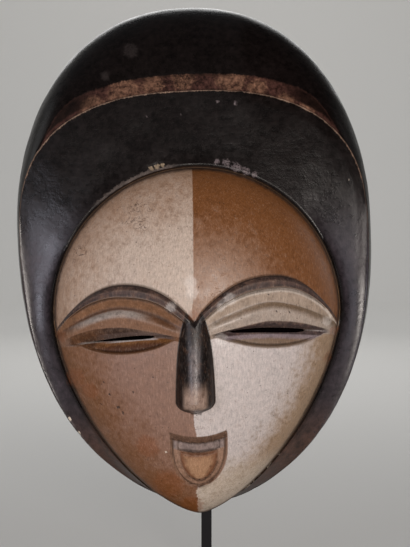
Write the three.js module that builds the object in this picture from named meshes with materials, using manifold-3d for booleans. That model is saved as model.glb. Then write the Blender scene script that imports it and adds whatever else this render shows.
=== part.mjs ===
// A carved and painted wooden face mask with a tall hood of hair, on a bent steel bar with a flat foot.
// Millimetres, +Z up, the mask looks towards -Y. The origin is the centre of the foot's underside.
// The mask is carved in its own frame: X across, Z up from the bridge of the nose, and Y from the
// flat back rim (0) forwards to the tip of the nose (negative). It is then leaned and lifted into place.

import * as THREE from "three";
import { mergeVertices } from "three/addons/utils/BufferGeometryUtils.js";
import Module from "manifold-3d";

// Outlines seen from the front. Each is widest at height level, and above and below it follows
// |x / half| ^ powerX + |rise / reach| ^ powerZ = 1.
const FACE_OUTLINE = {
  level: 0,
  half: 88.7,
  up: { reach: 90, powerX: 2, powerZ: 2 },
  down: { reach: 125.5, powerX: 1.5, powerZ: 1.6 },
};
const HOOD_EDGE = {
  level: 50,
  half: 108.5,
  up: { reach: 88, powerX: 2.55, powerZ: 2.55 },
  down: { reach: 174, powerX: 1.7, powerZ: 2.4 },
};
const HOOD_BODY = {
  level: 50,
  half: 115,
  up: { reach: 146, powerX: 2.2, powerZ: 2.2 },
  down: { reach: 171, powerX: 1.7, powerZ: 2.4 },
};
const BACK_RIM = {
  level: 50,
  half: 113,
  up: { reach: 144, powerX: 2.2, powerZ: 2.2 },
  down: { reach: 168, powerX: 1.7, powerZ: 2.4 },
};

const MIDLINE_DRIFT = 0.024; // sideways, for each millimetre down
const DRIFT_FADE = 4; // the least width over which it fades out

// Depths, all measured forwards from the back rim
const SEAM_DEPTH = 78.5; // the groove between the face and the hood
const FACE_BULGE = 37.5; // how far the bare egg of the face stands out of that groove
const BULGE_FALL = { brow: 2.3, chin: 3.5, roll: 0.62 };
const HOOD_LIP = { width: 1.6, share: 0.12, depth: 80.5, chinDepth: 74, chinBand: 7 };
const EDGE_DEPTH = { side: 76, top: 70, topPower: 2, chin: 60, chinPower: 4 };
const BAND_DISH = { depth: 2.2, fullBand: 20, at: [0.35, 0.7] }; // the hood's broad front band is dished
const EDGE_BEVEL = { width: 0.6, depth: 1.2 };
const CHAMFER = { width: 9.5, depth: 7, full: 27, gone: 45 }; // the worn flat above the hood's front edge
const BODY_DEPTH = 14; // where the hood is fullest
const HOOD_START = { top: 18, side: 62 }; // degrees from facing the viewer, where the dome leaves the edge
const WALL = 10;

// Brows and eyes, one set a side, with distances from the middle of the face and heights above the bridge
const EYE_END = 80; // beyond it the carved lines run together towards the side of the face
const BROW_END = 84;
const BROW_THICK = { middle: 7.2, inner: 5.6, outer: 1.5, fall: 1.5, shoulder: 0.14, crest: 0.45, at: 41 };
const LEFT_EYE = {
  brow: { at: 44, top: 21, innerDrop: 23.5, outerDrop: 23.5, innerPower: 2.2, outerPower: 2 },
  crease: { at: 46, top: 7.2, innerDrop: 17.5, outerDrop: 15, innerPower: 1.65, outerPower: 1.7 },
  lid: { at: 44, top: 2.6, innerDrop: 15.5, outerDrop: 14, innerPower: 1.2, outerPower: 2.1 },
  almond: { at: 46, top: -4.6, innerDrop: 9.2, outerDrop: 9.5, innerPower: 1.2, outerPower: 2.4 },
  slit: { at: 30, top: -11.1, innerDrop: 4, outerDrop: 1.5, innerPower: 3, outerPower: 1 },
  rim: { at: 46, top: -21, innerDrop: -3.5, outerDrop: -6.5, innerPower: 2, outerPower: 2.4 },
  opening: { first: 1, last: 9, thick: 2.4 },
};
const RIGHT_EYE = {
  brow: { at: 46, top: 23, innerDrop: 25.5, outerDrop: 26, innerPower: 2.35, outerPower: 2.15 },
  crease: { at: 44, top: 7.4, innerDrop: 17.5, outerDrop: 15, innerPower: 1.65, outerPower: 1.7 },
  lid: { at: 43, top: 3, innerDrop: 15.5, outerDrop: 14, innerPower: 1.2, outerPower: 2.1 },
  almond: { at: 42, top: -4.2, innerDrop: 9.2, outerDrop: 10, innerPower: 1.2, outerPower: 2 },
  slit: { at: 34, top: -9.2, innerDrop: 5.5, outerDrop: 5, innerPower: 3, outerPower: 1.5 },
  rim: { at: 50, top: -20.6, innerDrop: -3.5, outerDrop: -4, innerPower: 2, outerPower: 2.4 },
  opening: { first: 0, last: 10, thick: 3.3 },
};
const EYE_RELIEF = {
  shoulder: 2,
  brow: 3.4,
  browEdge: 2.8,
  undercut: -0.6,
  crease: -3.4,
  lid: -0.3,
  almond: -1.7,
  slit: -5.4,
  rim: -3.1,
  lip: -0.2,
};
const BROW_FADE = { bridge: 0.75, inner: 12, from: 62, end: 0.3 };
const SOCKET_FADE = [6, 18, 62, 85]; // distances from the middle: starts, full depth, fading, gone
const SLIT_FULLNESS = 0.6;
const SLIT_START = 30; // the slits are cut from here forwards, inside the hollow
const UNDERCUT = 1.0; // height of the step under a brow
const RIM_STEP = 1.7; // height of the step inside the lower rim of an eye
const CHEEK_START = 4;
const LINE_GAP = 0.8;

// Nose and mouth, both on the middle line
const NOSE = { top: -1, widest: -50, tip: -57.6, half: 11.6, bridgeTaper: 6.2, taperLength: 16 };
const NOSE_HEIGHT = { bridge: 3.2, tip: 15.5, power: 1.15 };
const NOSE_SECTION = { square: 2.4, round: 0.6 };
const MOUTH = { half: 17.6, top: -72, cornerRise: 3.5, shoulder: -80, bottom: -104.3, depth: 2.8, slope: 2 };
const LIP = { height: 4.4, depth: 1.9 };
const TEETH = { bottom: -82.4, cornerRise: 3.4, half: 13, depth: 3.9 };
const TONGUE = { half: 11.6, top: -83.2, bottom: -100, crown: 3.4, step: 1.5 };

// Stand: a square bar rising behind the lower rim and bent into the hollow, and a flat foot
const BAR = 7;
const GAP = 0.3;
const FOOT = { width: 140, depth: 120, thick: 8, corner: 4, bevel: 1 };
const BAR_Y = 30;
const CHIN_CLEARANCE = 64;
const BAR_TOP = { straight: 60, inY: -22, top: 182.2, bend: 45 };

// How the mask hangs on the bar
const LEAN = THREE.MathUtils.degToRad(2.3);
const MASK_X = -6;
const MASK_Y = BAR_Y - BAR / 2 - GAP;
const MASK_Z = FOOT.thick + CHIN_CLEARANCE + FACE_OUTLINE.down.reach;

// Mesh steps
const NOSE_COLUMNS = [0, 3.6, 7.2, 9.8, 11.5, 12.4];
const MOUTH_COLUMNS = [15, 16.6, 18];
const EYE_COLUMNS = { from: 21, to: 74, count: 12 };
const NOSE_CLOSE = { margin: 0.4, bridge: -5, least: 0.55, above: [2, 25], below: [-58.6, -65.6] };
const SIDE_COLUMNS = 6;
const FOREHEAD_STEPS = [0, 0.012, 0.05, 0.12, 0.22, 0.35, 0.5, 0.66, 0.83];
const CHEEK_HEIGHTS = [-26, -32, -38, -44, -49.5, -53.5, -56, -57.4, -58.5, -63, -67.5];
const LIP_HEIGHTS = [-70.8, -72.6, -75.4, -77.2, -79.6, -82, -83.8];
const TONGUE_HEIGHTS = [-86.5, -90, -93.5, -97, -100, -102.6, -105];
const CHIN_HEIGHTS = [-110, -116, -121, -124.4];
const DOME_RINGS = 4;
const HOLLOW_SECTORS = 48;
const BAR_STEPS = 28;
const HOLLOW_STEPS = [0, 0.3, 0.55, 0.8];
const BACK_MIDDLE = 30;
const MERGE = 1e-3;
const REACH_SEARCH = { far: 260, halvings: 40 };
const NET_PASSES = 12;

const DARK_WOOD = { color: "#352b28", roughness: 0.6, metalness: 0 };
const BLACK_STEEL = { color: "#26252a", roughness: 0.5, metalness: 0.6 };

const clamp01 = (t) => Math.min(1, Math.max(0, t));
const mix = (a, b, t) => a + (b - a) * t;
const smooth = (t) => clamp01(t) ** 2 * (3 - 2 * clamp01(t));
const ramp = (from, to, v) => smooth((v - from) / (to - from));
const spaced = (from, to, count) => Array.from({ length: count }, (_, i) => mix(from, to, i / count));
const EYE_MARKS = spaced(EYE_COLUMNS.from, EYE_COLUMNS.to, EYE_COLUMNS.count);

// Outlines
function outlineLevel(outline, x, z) {
  const rise = z - outline.level;
  const half = rise > 0 ? outline.up : outline.down;
  return Math.abs(x / outline.half) ** half.powerX + Math.abs(rise / half.reach) ** half.powerZ;
}

// Distance from the bridge of the nose to an outline, in the direction angle
function reachOf(outline, angle) {
  let near = 0;
  let far = REACH_SEARCH.far;
  for (let i = 0; i < REACH_SEARCH.halvings; i++) {
    const r = (near + far) / 2;
    if (outlineLevel(outline, r * Math.cos(angle), r * Math.sin(angle)) < 1) near = r;
    else far = r;
  }
  return near;
}

// Height of the face outline over a distance x from the middle, for its upper or lower half
function faceEnd(x, half) {
  const side = clamp01(Math.abs(x) / FACE_OUTLINE.half);
  return half.reach * (1 - side ** half.powerX) ** (1 / half.powerZ);
}

// The carver's middle line drifts to the viewer's left as it goes down, and the hood's edge doesn't follow
function drift(x, z) {
  const angle = Math.atan2(z, x);
  const [seam, edge] = [reachOf(FACE_OUTLINE, angle), reachOf(HOOD_EDGE, angle)];
  const faded = ramp(seam, Math.max(edge, seam + DRIFT_FADE), Math.hypot(x, z));
  return MIDLINE_DRIFT * Math.min(0, z) * (1 - faded);
}

// Carved lines of the eyes
function arch(line, side, outerEnd) {
  const inner = side < line.at;
  const span = inner ? line.at : outerEnd - line.at;
  const drop = inner ? line.innerDrop : line.outerDrop;
  const power = inner ? line.innerPower : line.outerPower;
  return line.top - drop * Math.abs((side - line.at) / span) ** power;
}

function browThickness(side) {
  const { middle, inner, outer, fall, at } = BROW_THICK;
  if (side < at) return mix(inner, middle, 1 - (1 - side / at) ** 2);
  return mix(middle, outer, clamp01((side - at) / (BROW_END - at)) ** fall);
}

// The heights of the eye's carved lines at a distance x from the middle, from the brow down to the cheek
function eyeLines(x) {
  const eye = x < 0 ? LEFT_EYE : RIGHT_EYE;
  const side = Math.min(Math.abs(x), EYE_END);
  const brow = arch(eye.brow, side, BROW_END);
  const thick = browThickness(side);
  const rim = arch(eye.rim, side, BROW_END);
  const lines = [
    brow,
    brow - thick * BROW_THICK.shoulder,
    brow - thick * BROW_THICK.crest,
    brow - thick,
    brow - thick - UNDERCUT,
    arch(eye.crease, side, BROW_END),
    arch(eye.lid, side, BROW_END),
    arch(eye.almond, side, BROW_END),
    arch(eye.slit, side, BROW_END),
    rim + RIM_STEP,
    rim,
    rim - CHEEK_START,
  ];
  for (let k = 1; k < lines.length; k++) lines[k] = Math.min(lines[k], lines[k - 1] - LINE_GAP);
  if (Math.abs(x) <= EYE_END) return lines;
  const upper = faceEnd(x, FACE_OUTLINE.up) / faceEnd(EYE_END, FACE_OUTLINE.up);
  const lower = faceEnd(x, FACE_OUTLINE.down) / faceEnd(EYE_END, FACE_OUTLINE.down);
  return lines.map((z) => (z > 0 ? z * upper : z * lower));
}

// How far the surface stands out (+) or in (-) along each of those lines
function eyeReliefs(x) {
  const side = Math.abs(x);
  const inner = mix(BROW_FADE.bridge, 1, ramp(0, BROW_FADE.inner, side));
  const brow = inner * mix(1, BROW_FADE.end, ramp(BROW_FADE.from, BROW_END, side));
  const [start, full, fading, gone] = SOCKET_FADE;
  const socket = ramp(start, full, side) * (1 - ramp(fading, gone, side));
  const r = EYE_RELIEF;
  return [
    0,
    r.shoulder * brow,
    r.brow * brow,
    r.browEdge * brow,
    r.undercut * socket,
    r.crease * socket,
    r.lid * socket,
    r.almond * socket,
    r.slit * socket,
    r.rim * socket,
    r.lip * socket,
    0,
  ];
}

function eyeRelief(x, z) {
  const lines = eyeLines(x);
  if (z >= lines[0] || z <= lines.at(-1)) return 0;
  const reliefs = eyeReliefs(x);
  const k = lines.findIndex((line) => line <= z);
  return mix(reliefs[k], reliefs[k - 1], smooth((z - lines[k]) / (lines[k - 1] - lines[k])));
}

const noseHalf = (z) => NOSE.half - NOSE.bridgeTaper * Math.exp(z / NOSE.taperLength);

// The nose's width closes round its tip
function noseRound(z) {
  const past = Math.max(0, NOSE.widest - z) / (NOSE.widest - NOSE.tip);
  return Math.sqrt(Math.max(0, 1 - past ** 2));
}

function noseRelief(x, z) {
  if (z > NOSE.top || z < NOSE.tip) return 0;
  const half = noseHalf(z) * noseRound(z);
  if (Math.abs(x) >= half) return 0;
  const across = Math.abs(x) / half;
  const down = clamp01((NOSE.top - z) / (NOSE.top - NOSE.widest));
  const height = mix(NOSE_HEIGHT.bridge, NOSE_HEIGHT.tip, down ** NOSE_HEIGHT.power);
  return height * (1 - across ** NOSE_SECTION.square) ** NOSE_SECTION.round;
}

// Half width of a U that keeps its width down to shoulder and closes at bottom
function uHalf(half, shoulder, bottom, z) {
  if (z >= shoulder) return half;
  return half * Math.sqrt(Math.max(0, 1 - ((z - shoulder) / (bottom - shoulder)) ** 2));
}

function mouthRelief(x, z) {
  const across = Math.abs(x);
  const sag = Math.min(1, across / MOUTH.half) ** 2;
  const top = MOUTH.top + MOUTH.cornerRise * sag;
  const sideRoom = uHalf(MOUTH.half, MOUTH.shoulder, MOUTH.bottom, z) - across;
  const room = Math.min(sideRoom, top - z);
  if (room <= 0) return 0;
  const edge = smooth(room / MOUTH.slope);
  const lipBottom = top - LIP.height;
  if (z > lipBottom) return -LIP.depth * smooth((top - z) / LIP.height) * edge;
  const teethBottom = TEETH.bottom + TEETH.cornerRise * sag;
  if (across < TEETH.half && z > teethBottom) return -TEETH.depth * edge;
  const tongueHalf = uHalf(TONGUE.half, TONGUE.top, TONGUE.bottom, z);
  const onTongue = z < teethBottom && across < tongueHalf;
  const crown = onTongue ? TONGUE.crown * Math.sqrt(1 - (across / tongueHalf) ** 2) : 0;
  return -MOUTH.depth * edge + crown * smooth((teethBottom - z) / TONGUE.step);
}

// The whole carved face: its depth in front of the back rim at a point of the front view
function faceDepth(x, z) {
  const r = Math.hypot(x, z);
  const out = r > 0 ? clamp01(r / reachOf(FACE_OUTLINE, Math.atan2(z, x))) : 0;
  const fall = mix(BULGE_FALL.brow, BULGE_FALL.chin, clamp01(-z / FACE_OUTLINE.down.reach));
  const bulge = FACE_BULGE * (1 - out ** fall) ** BULGE_FALL.roll;
  const nose = noseRelief(x, z);
  const relief = nose > 0 ? Math.max(nose, eyeRelief(x, z)) : eyeRelief(x, z);
  return SEAM_DEPTH + bulge + relief + mouthRelief(x, z);
}

// The hood's profile in one direction, from the groove round the face out to the back rim: [reach, depth]
function hoodProfile(angle) {
  const up = Math.max(0, Math.sin(angle));
  const down = Math.max(0, -Math.sin(angle));
  const seam = reachOf(FACE_OUTLINE, angle);
  const edge = reachOf(HOOD_EDGE, angle);
  const body = reachOf(HOOD_BODY, angle);
  const rim = reachOf(BACK_RIM, angle);
  const band = edge - seam;
  const atChin = 1 - ramp(0, HOOD_LIP.chinBand, band);
  const overTop = mix(EDGE_DEPTH.side, EDGE_DEPTH.top, up ** EDGE_DEPTH.topPower);
  const edgeDepth = mix(overTop, EDGE_DEPTH.chin, down ** EDGE_DEPTH.chinPower);
  const lipReach = seam + Math.min(HOOD_LIP.width, band * HOOD_LIP.share);
  const lip = [lipReach, mix(HOOD_LIP.depth, HOOD_LIP.chinDepth, atChin)];
  const dished = BAND_DISH.depth * Math.min(1, band / BAND_DISH.fullBand);
  const dish = BAND_DISH.at.map((t) => [mix(lip[0], edge, t), mix(lip[1], edgeDepth, t) - dished]);
  const fromTop = Math.abs(THREE.MathUtils.radToDeg(angle) - 90);
  const chamfer = 1 - ramp(CHAMFER.full, CHAMFER.gone, Math.min(fromTop, 360 - fromTop));
  const start = [
    edge + EDGE_BEVEL.width + CHAMFER.width * chamfer,
    edgeDepth - EDGE_BEVEL.depth - CHAMFER.depth * chamfer,
  ];
  const lean = THREE.MathUtils.degToRad(mix(HOOD_START.side, HOOD_START.top, smooth(up)));
  const profile = [lip, ...dish, [edge, edgeDepth], start];
  for (let k = 1; k <= DOME_RINGS; k++) {
    const turn = mix(lean, Math.PI / 2, k / DOME_RINGS);
    const out = (Math.sin(turn) - Math.sin(lean)) / (1 - Math.sin(lean));
    const back = (Math.cos(lean) - Math.cos(turn)) / Math.cos(lean);
    profile.push([mix(start[0], body, out), mix(start[1], BODY_DEPTH, back)]);
  }
  profile.push([rim, 0]);
  return profile;
}

// A mesh of points and triangles, where points in one place become one and empty triangles drop out
function netGeometry(points, faces) {
  const places = new Map();
  const first = points.map((p, i) => {
    const key = p.map((v) => Math.round(v / MERGE)).join();
    if (!places.has(key)) places.set(key, i);
    return places.get(key);
  });
  const kept = faces.map((f) => f.map((i) => first[i])).filter(([a, b, c]) => a !== b && b !== c && c !== a);
  const g = new THREE.BufferGeometry();
  g.setAttribute("position", new THREE.Float32BufferAttribute(points.flat(), 3));
  g.setIndex(kept.flat());
  return g;
}

// Quads between two rows of point numbers, facing the viewer where the first row is above the second
function quadsBetween(upper, lower, closed = false) {
  const faces = [];
  const count = closed ? upper.length : upper.length - 1;
  for (let j = 0; j < count; j++) {
    const n = (j + 1) % upper.length;
    faces.push([upper[j], lower[j], lower[n]], [upper[j], lower[n], upper[n]]);
  }
  return faces;
}

function columnPositions() {
  const outer = Math.acos(EYE_COLUMNS.to / FACE_OUTLINE.half);
  const half = [
    ...NOSE_COLUMNS,
    ...MOUTH_COLUMNS,
    ...EYE_MARKS,
    ...spaced(outer, 0, SIDE_COLUMNS).map((a) => FACE_OUTLINE.half * Math.cos(a)),
    FACE_OUTLINE.half,
  ];
  return [...half.slice(1).reverse().map((x) => -x), ...half];
}

// Heights of the net's rows at x, from the top of the face to the chin
function rowHeights(x) {
  const top = faceEnd(x, FACE_OUTLINE.up);
  const chin = -faceEnd(x, FACE_OUTLINE.down);
  const lines = eyeLines(x);
  const cheek = lines.at(-1);
  const middleCheek = eyeLines(0).at(-1);
  const mouth = [...LIP_HEIGHTS, ...TONGUE_HEIGHTS];
  const lower = [...CHEEK_HEIGHTS, ...mouth, ...CHIN_HEIGHTS, -FACE_OUTLINE.down.reach];
  return [
    ...FOREHEAD_STEPS.map((t) => mix(top, lines[0], t)),
    ...lines,
    ...lower.map((z) => mix(cheek, chin, (middleCheek - z) / (middleCheek + FACE_OUTLINE.down.reach))),
  ];
}

// The columns beside the nose close in on it towards the bridge, and are back in place at the mouth
function columnAt(column, z) {
  const [edge, end] = [NOSE_COLUMNS.at(-1), EYE_COLUMNS.from];
  const { margin, bridge, least, above, below } = NOSE_CLOSE;
  const tight = ((noseHalf(Math.min(z, bridge)) + margin) / edge) * Math.max(least, noseRound(z));
  const close = mix(tight, 1, Math.max(ramp(...above, z), ramp(...below, z)));
  const side = Math.abs(column);
  if (side >= end) return column;
  const x = side <= edge ? side * close : mix(edge * close, end, (side - edge) / (end - edge));
  return Math.sign(column) * x;
}

// The point of a row on a column, found in a few steps because each leans on the other
function netPoint(column, row) {
  let x = column;
  let z = 0;
  for (let i = 0; i < NET_PASSES; i++) {
    z = rowHeights(x)[row];
    x = columnAt(column, z);
  }
  return [x, z];
}

function carvedBlock() {
  const xs = columnPositions();
  const rowCount = rowHeights(0).length;
  const points = [];
  const faces = [];
  const add = (x, depth, z) => points.push([x + drift(x, z), -depth, z]) - 1;
  // the face: every column has the same rows, and they meet at the two sides of the face
  const columns = xs.map((column) =>
    Array.from({ length: rowCount }, (_, row) => {
      const [x, z] = netPoint(column, row);
      return add(x, faceDepth(x, z), z);
    }),
  );
  const rows = columns[0].map((_, i) => columns.map((column) => column[i]));
  for (let i = 1; i < rows.length; i++) faces.push(...quadsBetween(rows[i - 1], rows[i]));
  // the hood: rings that start from the face's outline, over the top from left to right and back below
  const outline = [...rows[0], ...rows.at(-1).slice(1, -1).reverse()];
  let inner = outline;
  const angles = [
    ...xs.map((column) => netPoint(column, 0)),
    ...xs.slice(1, -1).reverse().map((column) => netPoint(column, rowCount - 1)),
  ].map(([x, z]) => (Math.atan2(z, x) + 2 * Math.PI) % (2 * Math.PI));
  const profiles = angles.map(hoodProfile);
  for (let k = 0; k < profiles[0].length; k++) {
    const ring = profiles.map((profile, j) => {
      const [r, depth] = profile[k];
      return add(r * Math.cos(angles[j]), depth, r * Math.sin(angles[j]));
    });
    faces.push(...quadsBetween(ring, inner, true));
    inner = ring;
  }
  // the flat back, as a fan that the hollow then opens
  const middle = add(0, 0, BACK_MIDDLE);
  inner.forEach((p, j) => faces.push([middle, p, inner[(j + 1) % inner.length]]));
  return netGeometry(points, faces);
}

// The hollow behind: the block's own profile, simplified and moved in by the thickness of the wall
function hollowPlug() {
  const points = [];
  const faces = [];
  const add = (x, depth, z) => points.push([x, -depth, z]) - 1;
  const bare = (out, angle) => {
    const fall = mix(BULGE_FALL.brow, BULGE_FALL.chin, clamp01(-out * Math.sin(angle)));
    return SEAM_DEPTH + FACE_BULGE * (1 - out ** fall) ** BULGE_FALL.roll;
  };
  const profiles = spaced(0, 2 * Math.PI, HOLLOW_SECTORS).map((angle) => {
    const seam = reachOf(FACE_OUTLINE, angle);
    const hood = hoodProfile(angle);
    const outer = [
      ...HOLLOW_STEPS.map((t) => [seam * t, bare(t, angle)]),
      [seam, SEAM_DEPTH],
      ...hood.slice(BAND_DISH.at.length + 2),
    ];
    const moved = outer.slice(1, -1).map(([r, depth], k) => {
      const [before, after] = [outer[k], outer[k + 2]];
      const across = new THREE.Vector2(after[0] - before[0], after[1] - before[1]).normalize();
      return [r + across.y * WALL, depth - across.x * WALL];
    });
    const rim = outer.at(-1)[0] - WALL;
    const inside = moved.map(([r, depth]) => [Math.min(r, rim), depth]);
    return { angle, stations: [...inside, [rim, 0], [rim, -GAP]] };
  });
  const front = add(0, SEAM_DEPTH + FACE_BULGE - WALL, 0);
  const back = add(0, -GAP, BACK_MIDDLE);
  let inner = null;
  for (let k = 0; k < profiles[0].stations.length; k++) {
    const ring = profiles.map(({ angle, stations }) => {
      const [r, depth] = stations[k];
      return add(r * Math.cos(angle), depth, r * Math.sin(angle));
    });
    if (inner) faces.push(...quadsBetween(inner, ring, true));
    else ring.forEach((p, j) => faces.push([front, p, ring[(j + 1) % ring.length]]));
    inner = ring;
  }
  inner.forEach((p, j) => faces.push([back, inner[(j + 1) % inner.length], p]));
  return netGeometry(points, faces);
}

// A long thin almond through the wood at the bottom of an eye socket
function slitCutter(sign, eye) {
  const { first, last, thick } = eye.opening;
  const along = EYE_MARKS.slice(first, last + 1);
  const place = (side, way) => {
    const t = (side - along[0]) / (along.at(-1) - along[0]);
    const half = (thick / 2) * Math.sin(Math.PI * clamp01(t)) ** SLIT_FULLNESS;
    const z = arch(eye.slit, side, BROW_END) + way * half;
    return new THREE.Vector2(sign * side, z);
  };
  const loop = [...along.map((x) => place(x, 1)), ...along.slice(1, -1).reverse().map((x) => place(x, -1))];
  if (sign > 0) loop.reverse();
  const depth = SEAM_DEPTH + FACE_BULGE;
  const g = new THREE.ExtrudeGeometry(new THREE.Shape(loop), { depth, bevelEnabled: false, steps: 1 });
  g.rotateX(Math.PI / 2);
  return g.translate(0, -SLIT_START, 0);
}

// Cuts with manifold-3d, which takes bare positions with shared vertices
const wasm = await Module();
wasm.setup();

function solid(geometry) {
  const bare = geometry.clone();
  bare.deleteAttribute("normal");
  bare.deleteAttribute("uv");
  const merged = mergeVertices(bare, MERGE);
  const vertProperties = new Float32Array(merged.attributes.position.array);
  const triVerts = new Uint32Array(merged.index.array);
  return new wasm.Manifold(new wasm.Mesh({ numProp: 3, vertProperties, triVerts }));
}

function geometryOf(cut) {
  const { vertProperties, triVerts } = cut.getMesh();
  const g = new THREE.BufferGeometry();
  g.setAttribute("position", new THREE.Float32BufferAttribute(vertProperties, 3));
  g.setIndex([...triVerts]);
  g.computeVertexNormals();
  return g;
}

function maskGeometry() {
  const cuts = [hollowPlug(), slitCutter(-1, LEFT_EYE), slitCutter(1, RIGHT_EYE)];
  return geometryOf(cuts.reduce((wood, cut) => wood.subtract(solid(cut)), solid(carvedBlock())));
}

// The bar: upright behind the rim, then bent forwards and up into the hollow
function barGeometry() {
  const bend = new THREE.CubicBezierCurve3(
    new THREE.Vector3(0, 0, BAR_TOP.straight),
    new THREE.Vector3(0, 0, BAR_TOP.straight + BAR_TOP.bend),
    new THREE.Vector3(0, BAR_TOP.inY, BAR_TOP.top - BAR_TOP.bend),
    new THREE.Vector3(0, BAR_TOP.inY, BAR_TOP.top),
  );
  const path = new THREE.CurvePath();
  path.add(new THREE.LineCurve3(new THREE.Vector3(0, 0, FOOT.thick + GAP - MASK_Z), bend.v0));
  path.add(bend);
  const section = new THREE.Shape();
  const h = BAR / 2;
  section.moveTo(-h, -h).lineTo(h, -h).lineTo(h, h).lineTo(-h, h).closePath();
  return new THREE.ExtrudeGeometry(section, { steps: BAR_STEPS, bevelEnabled: false, extrudePath: path });
}

function footGeometry() {
  const { width, depth, thick, corner, bevel } = FOOT;
  const x = width / 2 - bevel;
  const y = depth / 2 - bevel;
  const r = corner - bevel;
  const plate = new THREE.Shape();
  plate.moveTo(-x + r, -y);
  plate.absarc(x - r, -y + r, r, -Math.PI / 2, 0);
  plate.absarc(x - r, y - r, r, 0, Math.PI / 2);
  plate.absarc(-x + r, y - r, r, Math.PI / 2, Math.PI);
  plate.absarc(-x + r, -y + r, r, Math.PI, (3 * Math.PI) / 2);
  const settings = { depth: thick - 2 * bevel, bevelThickness: bevel, bevelSize: bevel, bevelSegments: 1 };
  const g = new THREE.ExtrudeGeometry(plate, { ...settings, curveSegments: 4, steps: 1 });
  return g.translate(0, 0, bevel);
}

function named(name, geometry, finish) {
  const mesh = new THREE.Mesh(geometry, new THREE.MeshStandardMaterial(finish));
  mesh.name = name;
  return mesh;
}

const mask = named("mask", maskGeometry(), DARK_WOOD);
mask.rotation.y = -LEAN;
mask.position.set(MASK_X, MASK_Y, MASK_Z);

const bar = named("stand_rod", barGeometry(), BLACK_STEEL);
bar.position.set(0, BAR_Y, MASK_Z);

const foot = named("stand_foot", footGeometry(), BLACK_STEEL);

const group = new THREE.Group();
group.add(mask, bar, foot);

export default group;
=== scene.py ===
# %% [markdown]
# # A carved and painted wooden mask on its display stand
# The solids come in as a fixed frame, and this script dresses them. The steel bar and the foot keep
# their shape and get a better finish. The mask is carved again, finer, from the same named sizes,
# with the tool marks, chips and cracks that are too small for the solid.

import math

import bpy
import numpy as np
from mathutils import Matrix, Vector, kdtree, noise


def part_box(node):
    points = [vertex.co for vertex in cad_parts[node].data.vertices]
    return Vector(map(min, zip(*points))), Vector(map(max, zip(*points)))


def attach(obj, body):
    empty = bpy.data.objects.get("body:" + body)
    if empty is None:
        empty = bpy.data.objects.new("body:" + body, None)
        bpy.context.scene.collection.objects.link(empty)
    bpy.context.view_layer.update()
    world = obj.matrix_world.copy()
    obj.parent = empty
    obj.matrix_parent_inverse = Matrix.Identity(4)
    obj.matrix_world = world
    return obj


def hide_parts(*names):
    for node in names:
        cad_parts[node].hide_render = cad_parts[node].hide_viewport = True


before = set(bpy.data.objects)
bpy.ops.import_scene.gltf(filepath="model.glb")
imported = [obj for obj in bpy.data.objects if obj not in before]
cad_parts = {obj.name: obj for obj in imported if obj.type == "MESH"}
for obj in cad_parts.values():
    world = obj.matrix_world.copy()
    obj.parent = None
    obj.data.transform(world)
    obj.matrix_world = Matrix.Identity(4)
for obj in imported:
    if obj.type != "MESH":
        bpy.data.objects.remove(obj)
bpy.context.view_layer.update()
print("solids:", sorted(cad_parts))

# %% [markdown]
# ## The mask's own frame
# The mask is carved lying on its back: X runs across it, Z up from the bridge of the nose, and depth
# forwards from the flat back rim, all in millimetres. One function leans it and hangs it on the bar.

# %% Where the mask hangs
MM = 0.001
LEAN = math.radians(2.3)
BRIDGE = (-6, 26.2, 197.5)


def hang(x, depth, z):
    """A place on the mask, in mm, as a place in the frame, in metres."""
    lean_x = x * math.cos(LEAN) - z * math.sin(LEAN)
    lean_z = x * math.sin(LEAN) + z * math.cos(LEAN)
    return np.stack([lean_x + BRIDGE[0], BRIDGE[1] - depth, lean_z + BRIDGE[2]], -1) * MM


mask_low, mask_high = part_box("mask")
print("mask box in mm:", [round(v / MM) for v in (*mask_low, *mask_high)])

# %% Small curves that everything is drawn with


def mix(a, b, t):
    return a + (b - a) * t


def ramp(start, end, v):
    """A soft step from 0 at the start to 1 at the end."""
    t = np.clip((v - start) / (end - start), 0, 1)
    return t * t * (3 - 2 * t)


print("half way up a ramp:", ramp(0, 1, 0.5))

# %% [markdown]
# ## Outlines
# A carver first draws the outlines on the block: the egg of the face and the wider hood round it.
# Each is a squared-off oval, widest at one height, with a different reach above and below it. A ray
# from the bridge of the nose meets each outline once, which a search by halves finds quickly.

# %% The outlines of the face and the hood
# the height and half width of the widest place, then above and below it the reach and how square the
# outline is, across and along
FACE = dict(level=0, half=88.7, up=(90, 2, 2), down=(125.5, 1.5, 1.6))
HOOD_EDGE = dict(level=50, half=108.5, up=(88, 2.55, 2.55), down=(174, 1.7, 2.4))
HOOD_BODY = dict(level=50, half=115, up=(146, 2.2, 2.2), down=(171, 1.7, 2.4))
BACK_RIM = dict(level=50, half=113, up=(144, 2.2, 2.2), down=(168, 1.7, 2.4))
FARTHEST, HALVINGS = 260.0, 40  # past every outline, and enough to halve that to nothing


def reach_of(outline, angle):
    """How far the outline is from the bridge of the nose in each direction, by halving."""
    near, far = np.zeros_like(angle), np.full_like(angle, FARTHEST)
    for _ in range(HALVINGS):
        r = (near + far) / 2
        x, rise = r * np.cos(angle), r * np.sin(angle) - outline["level"]
        (up, up_x, up_z), (down, down_x, down_z) = outline["up"], outline["down"]
        across = np.abs(x / outline["half"]) ** np.where(rise > 0, up_x, down_x)
        along = np.abs(rise / np.where(rise > 0, up, down)) ** np.where(rise > 0, up_z, down_z)
        inside = across + along < 1
        near, far = np.where(inside, r, near), np.where(inside, far, r)
    return near


def face_end(x, end):
    """How far up or down the outline of the face lies at each x."""
    reach, power_x, power_z = end
    side = np.clip(np.abs(x) / FACE["half"], 0, 1)
    return reach * (1 - side**power_x) ** (1 / power_z)


MIDLINE_DRIFT = 0.024
DRIFT_FADE = 4
# the nose sits left of the middle, and this fades out beside, above and below it
NOSE_SET = dict(shift=-1.4, across=(14, 26), above=(2, 18), below=(-72, -63))


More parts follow.
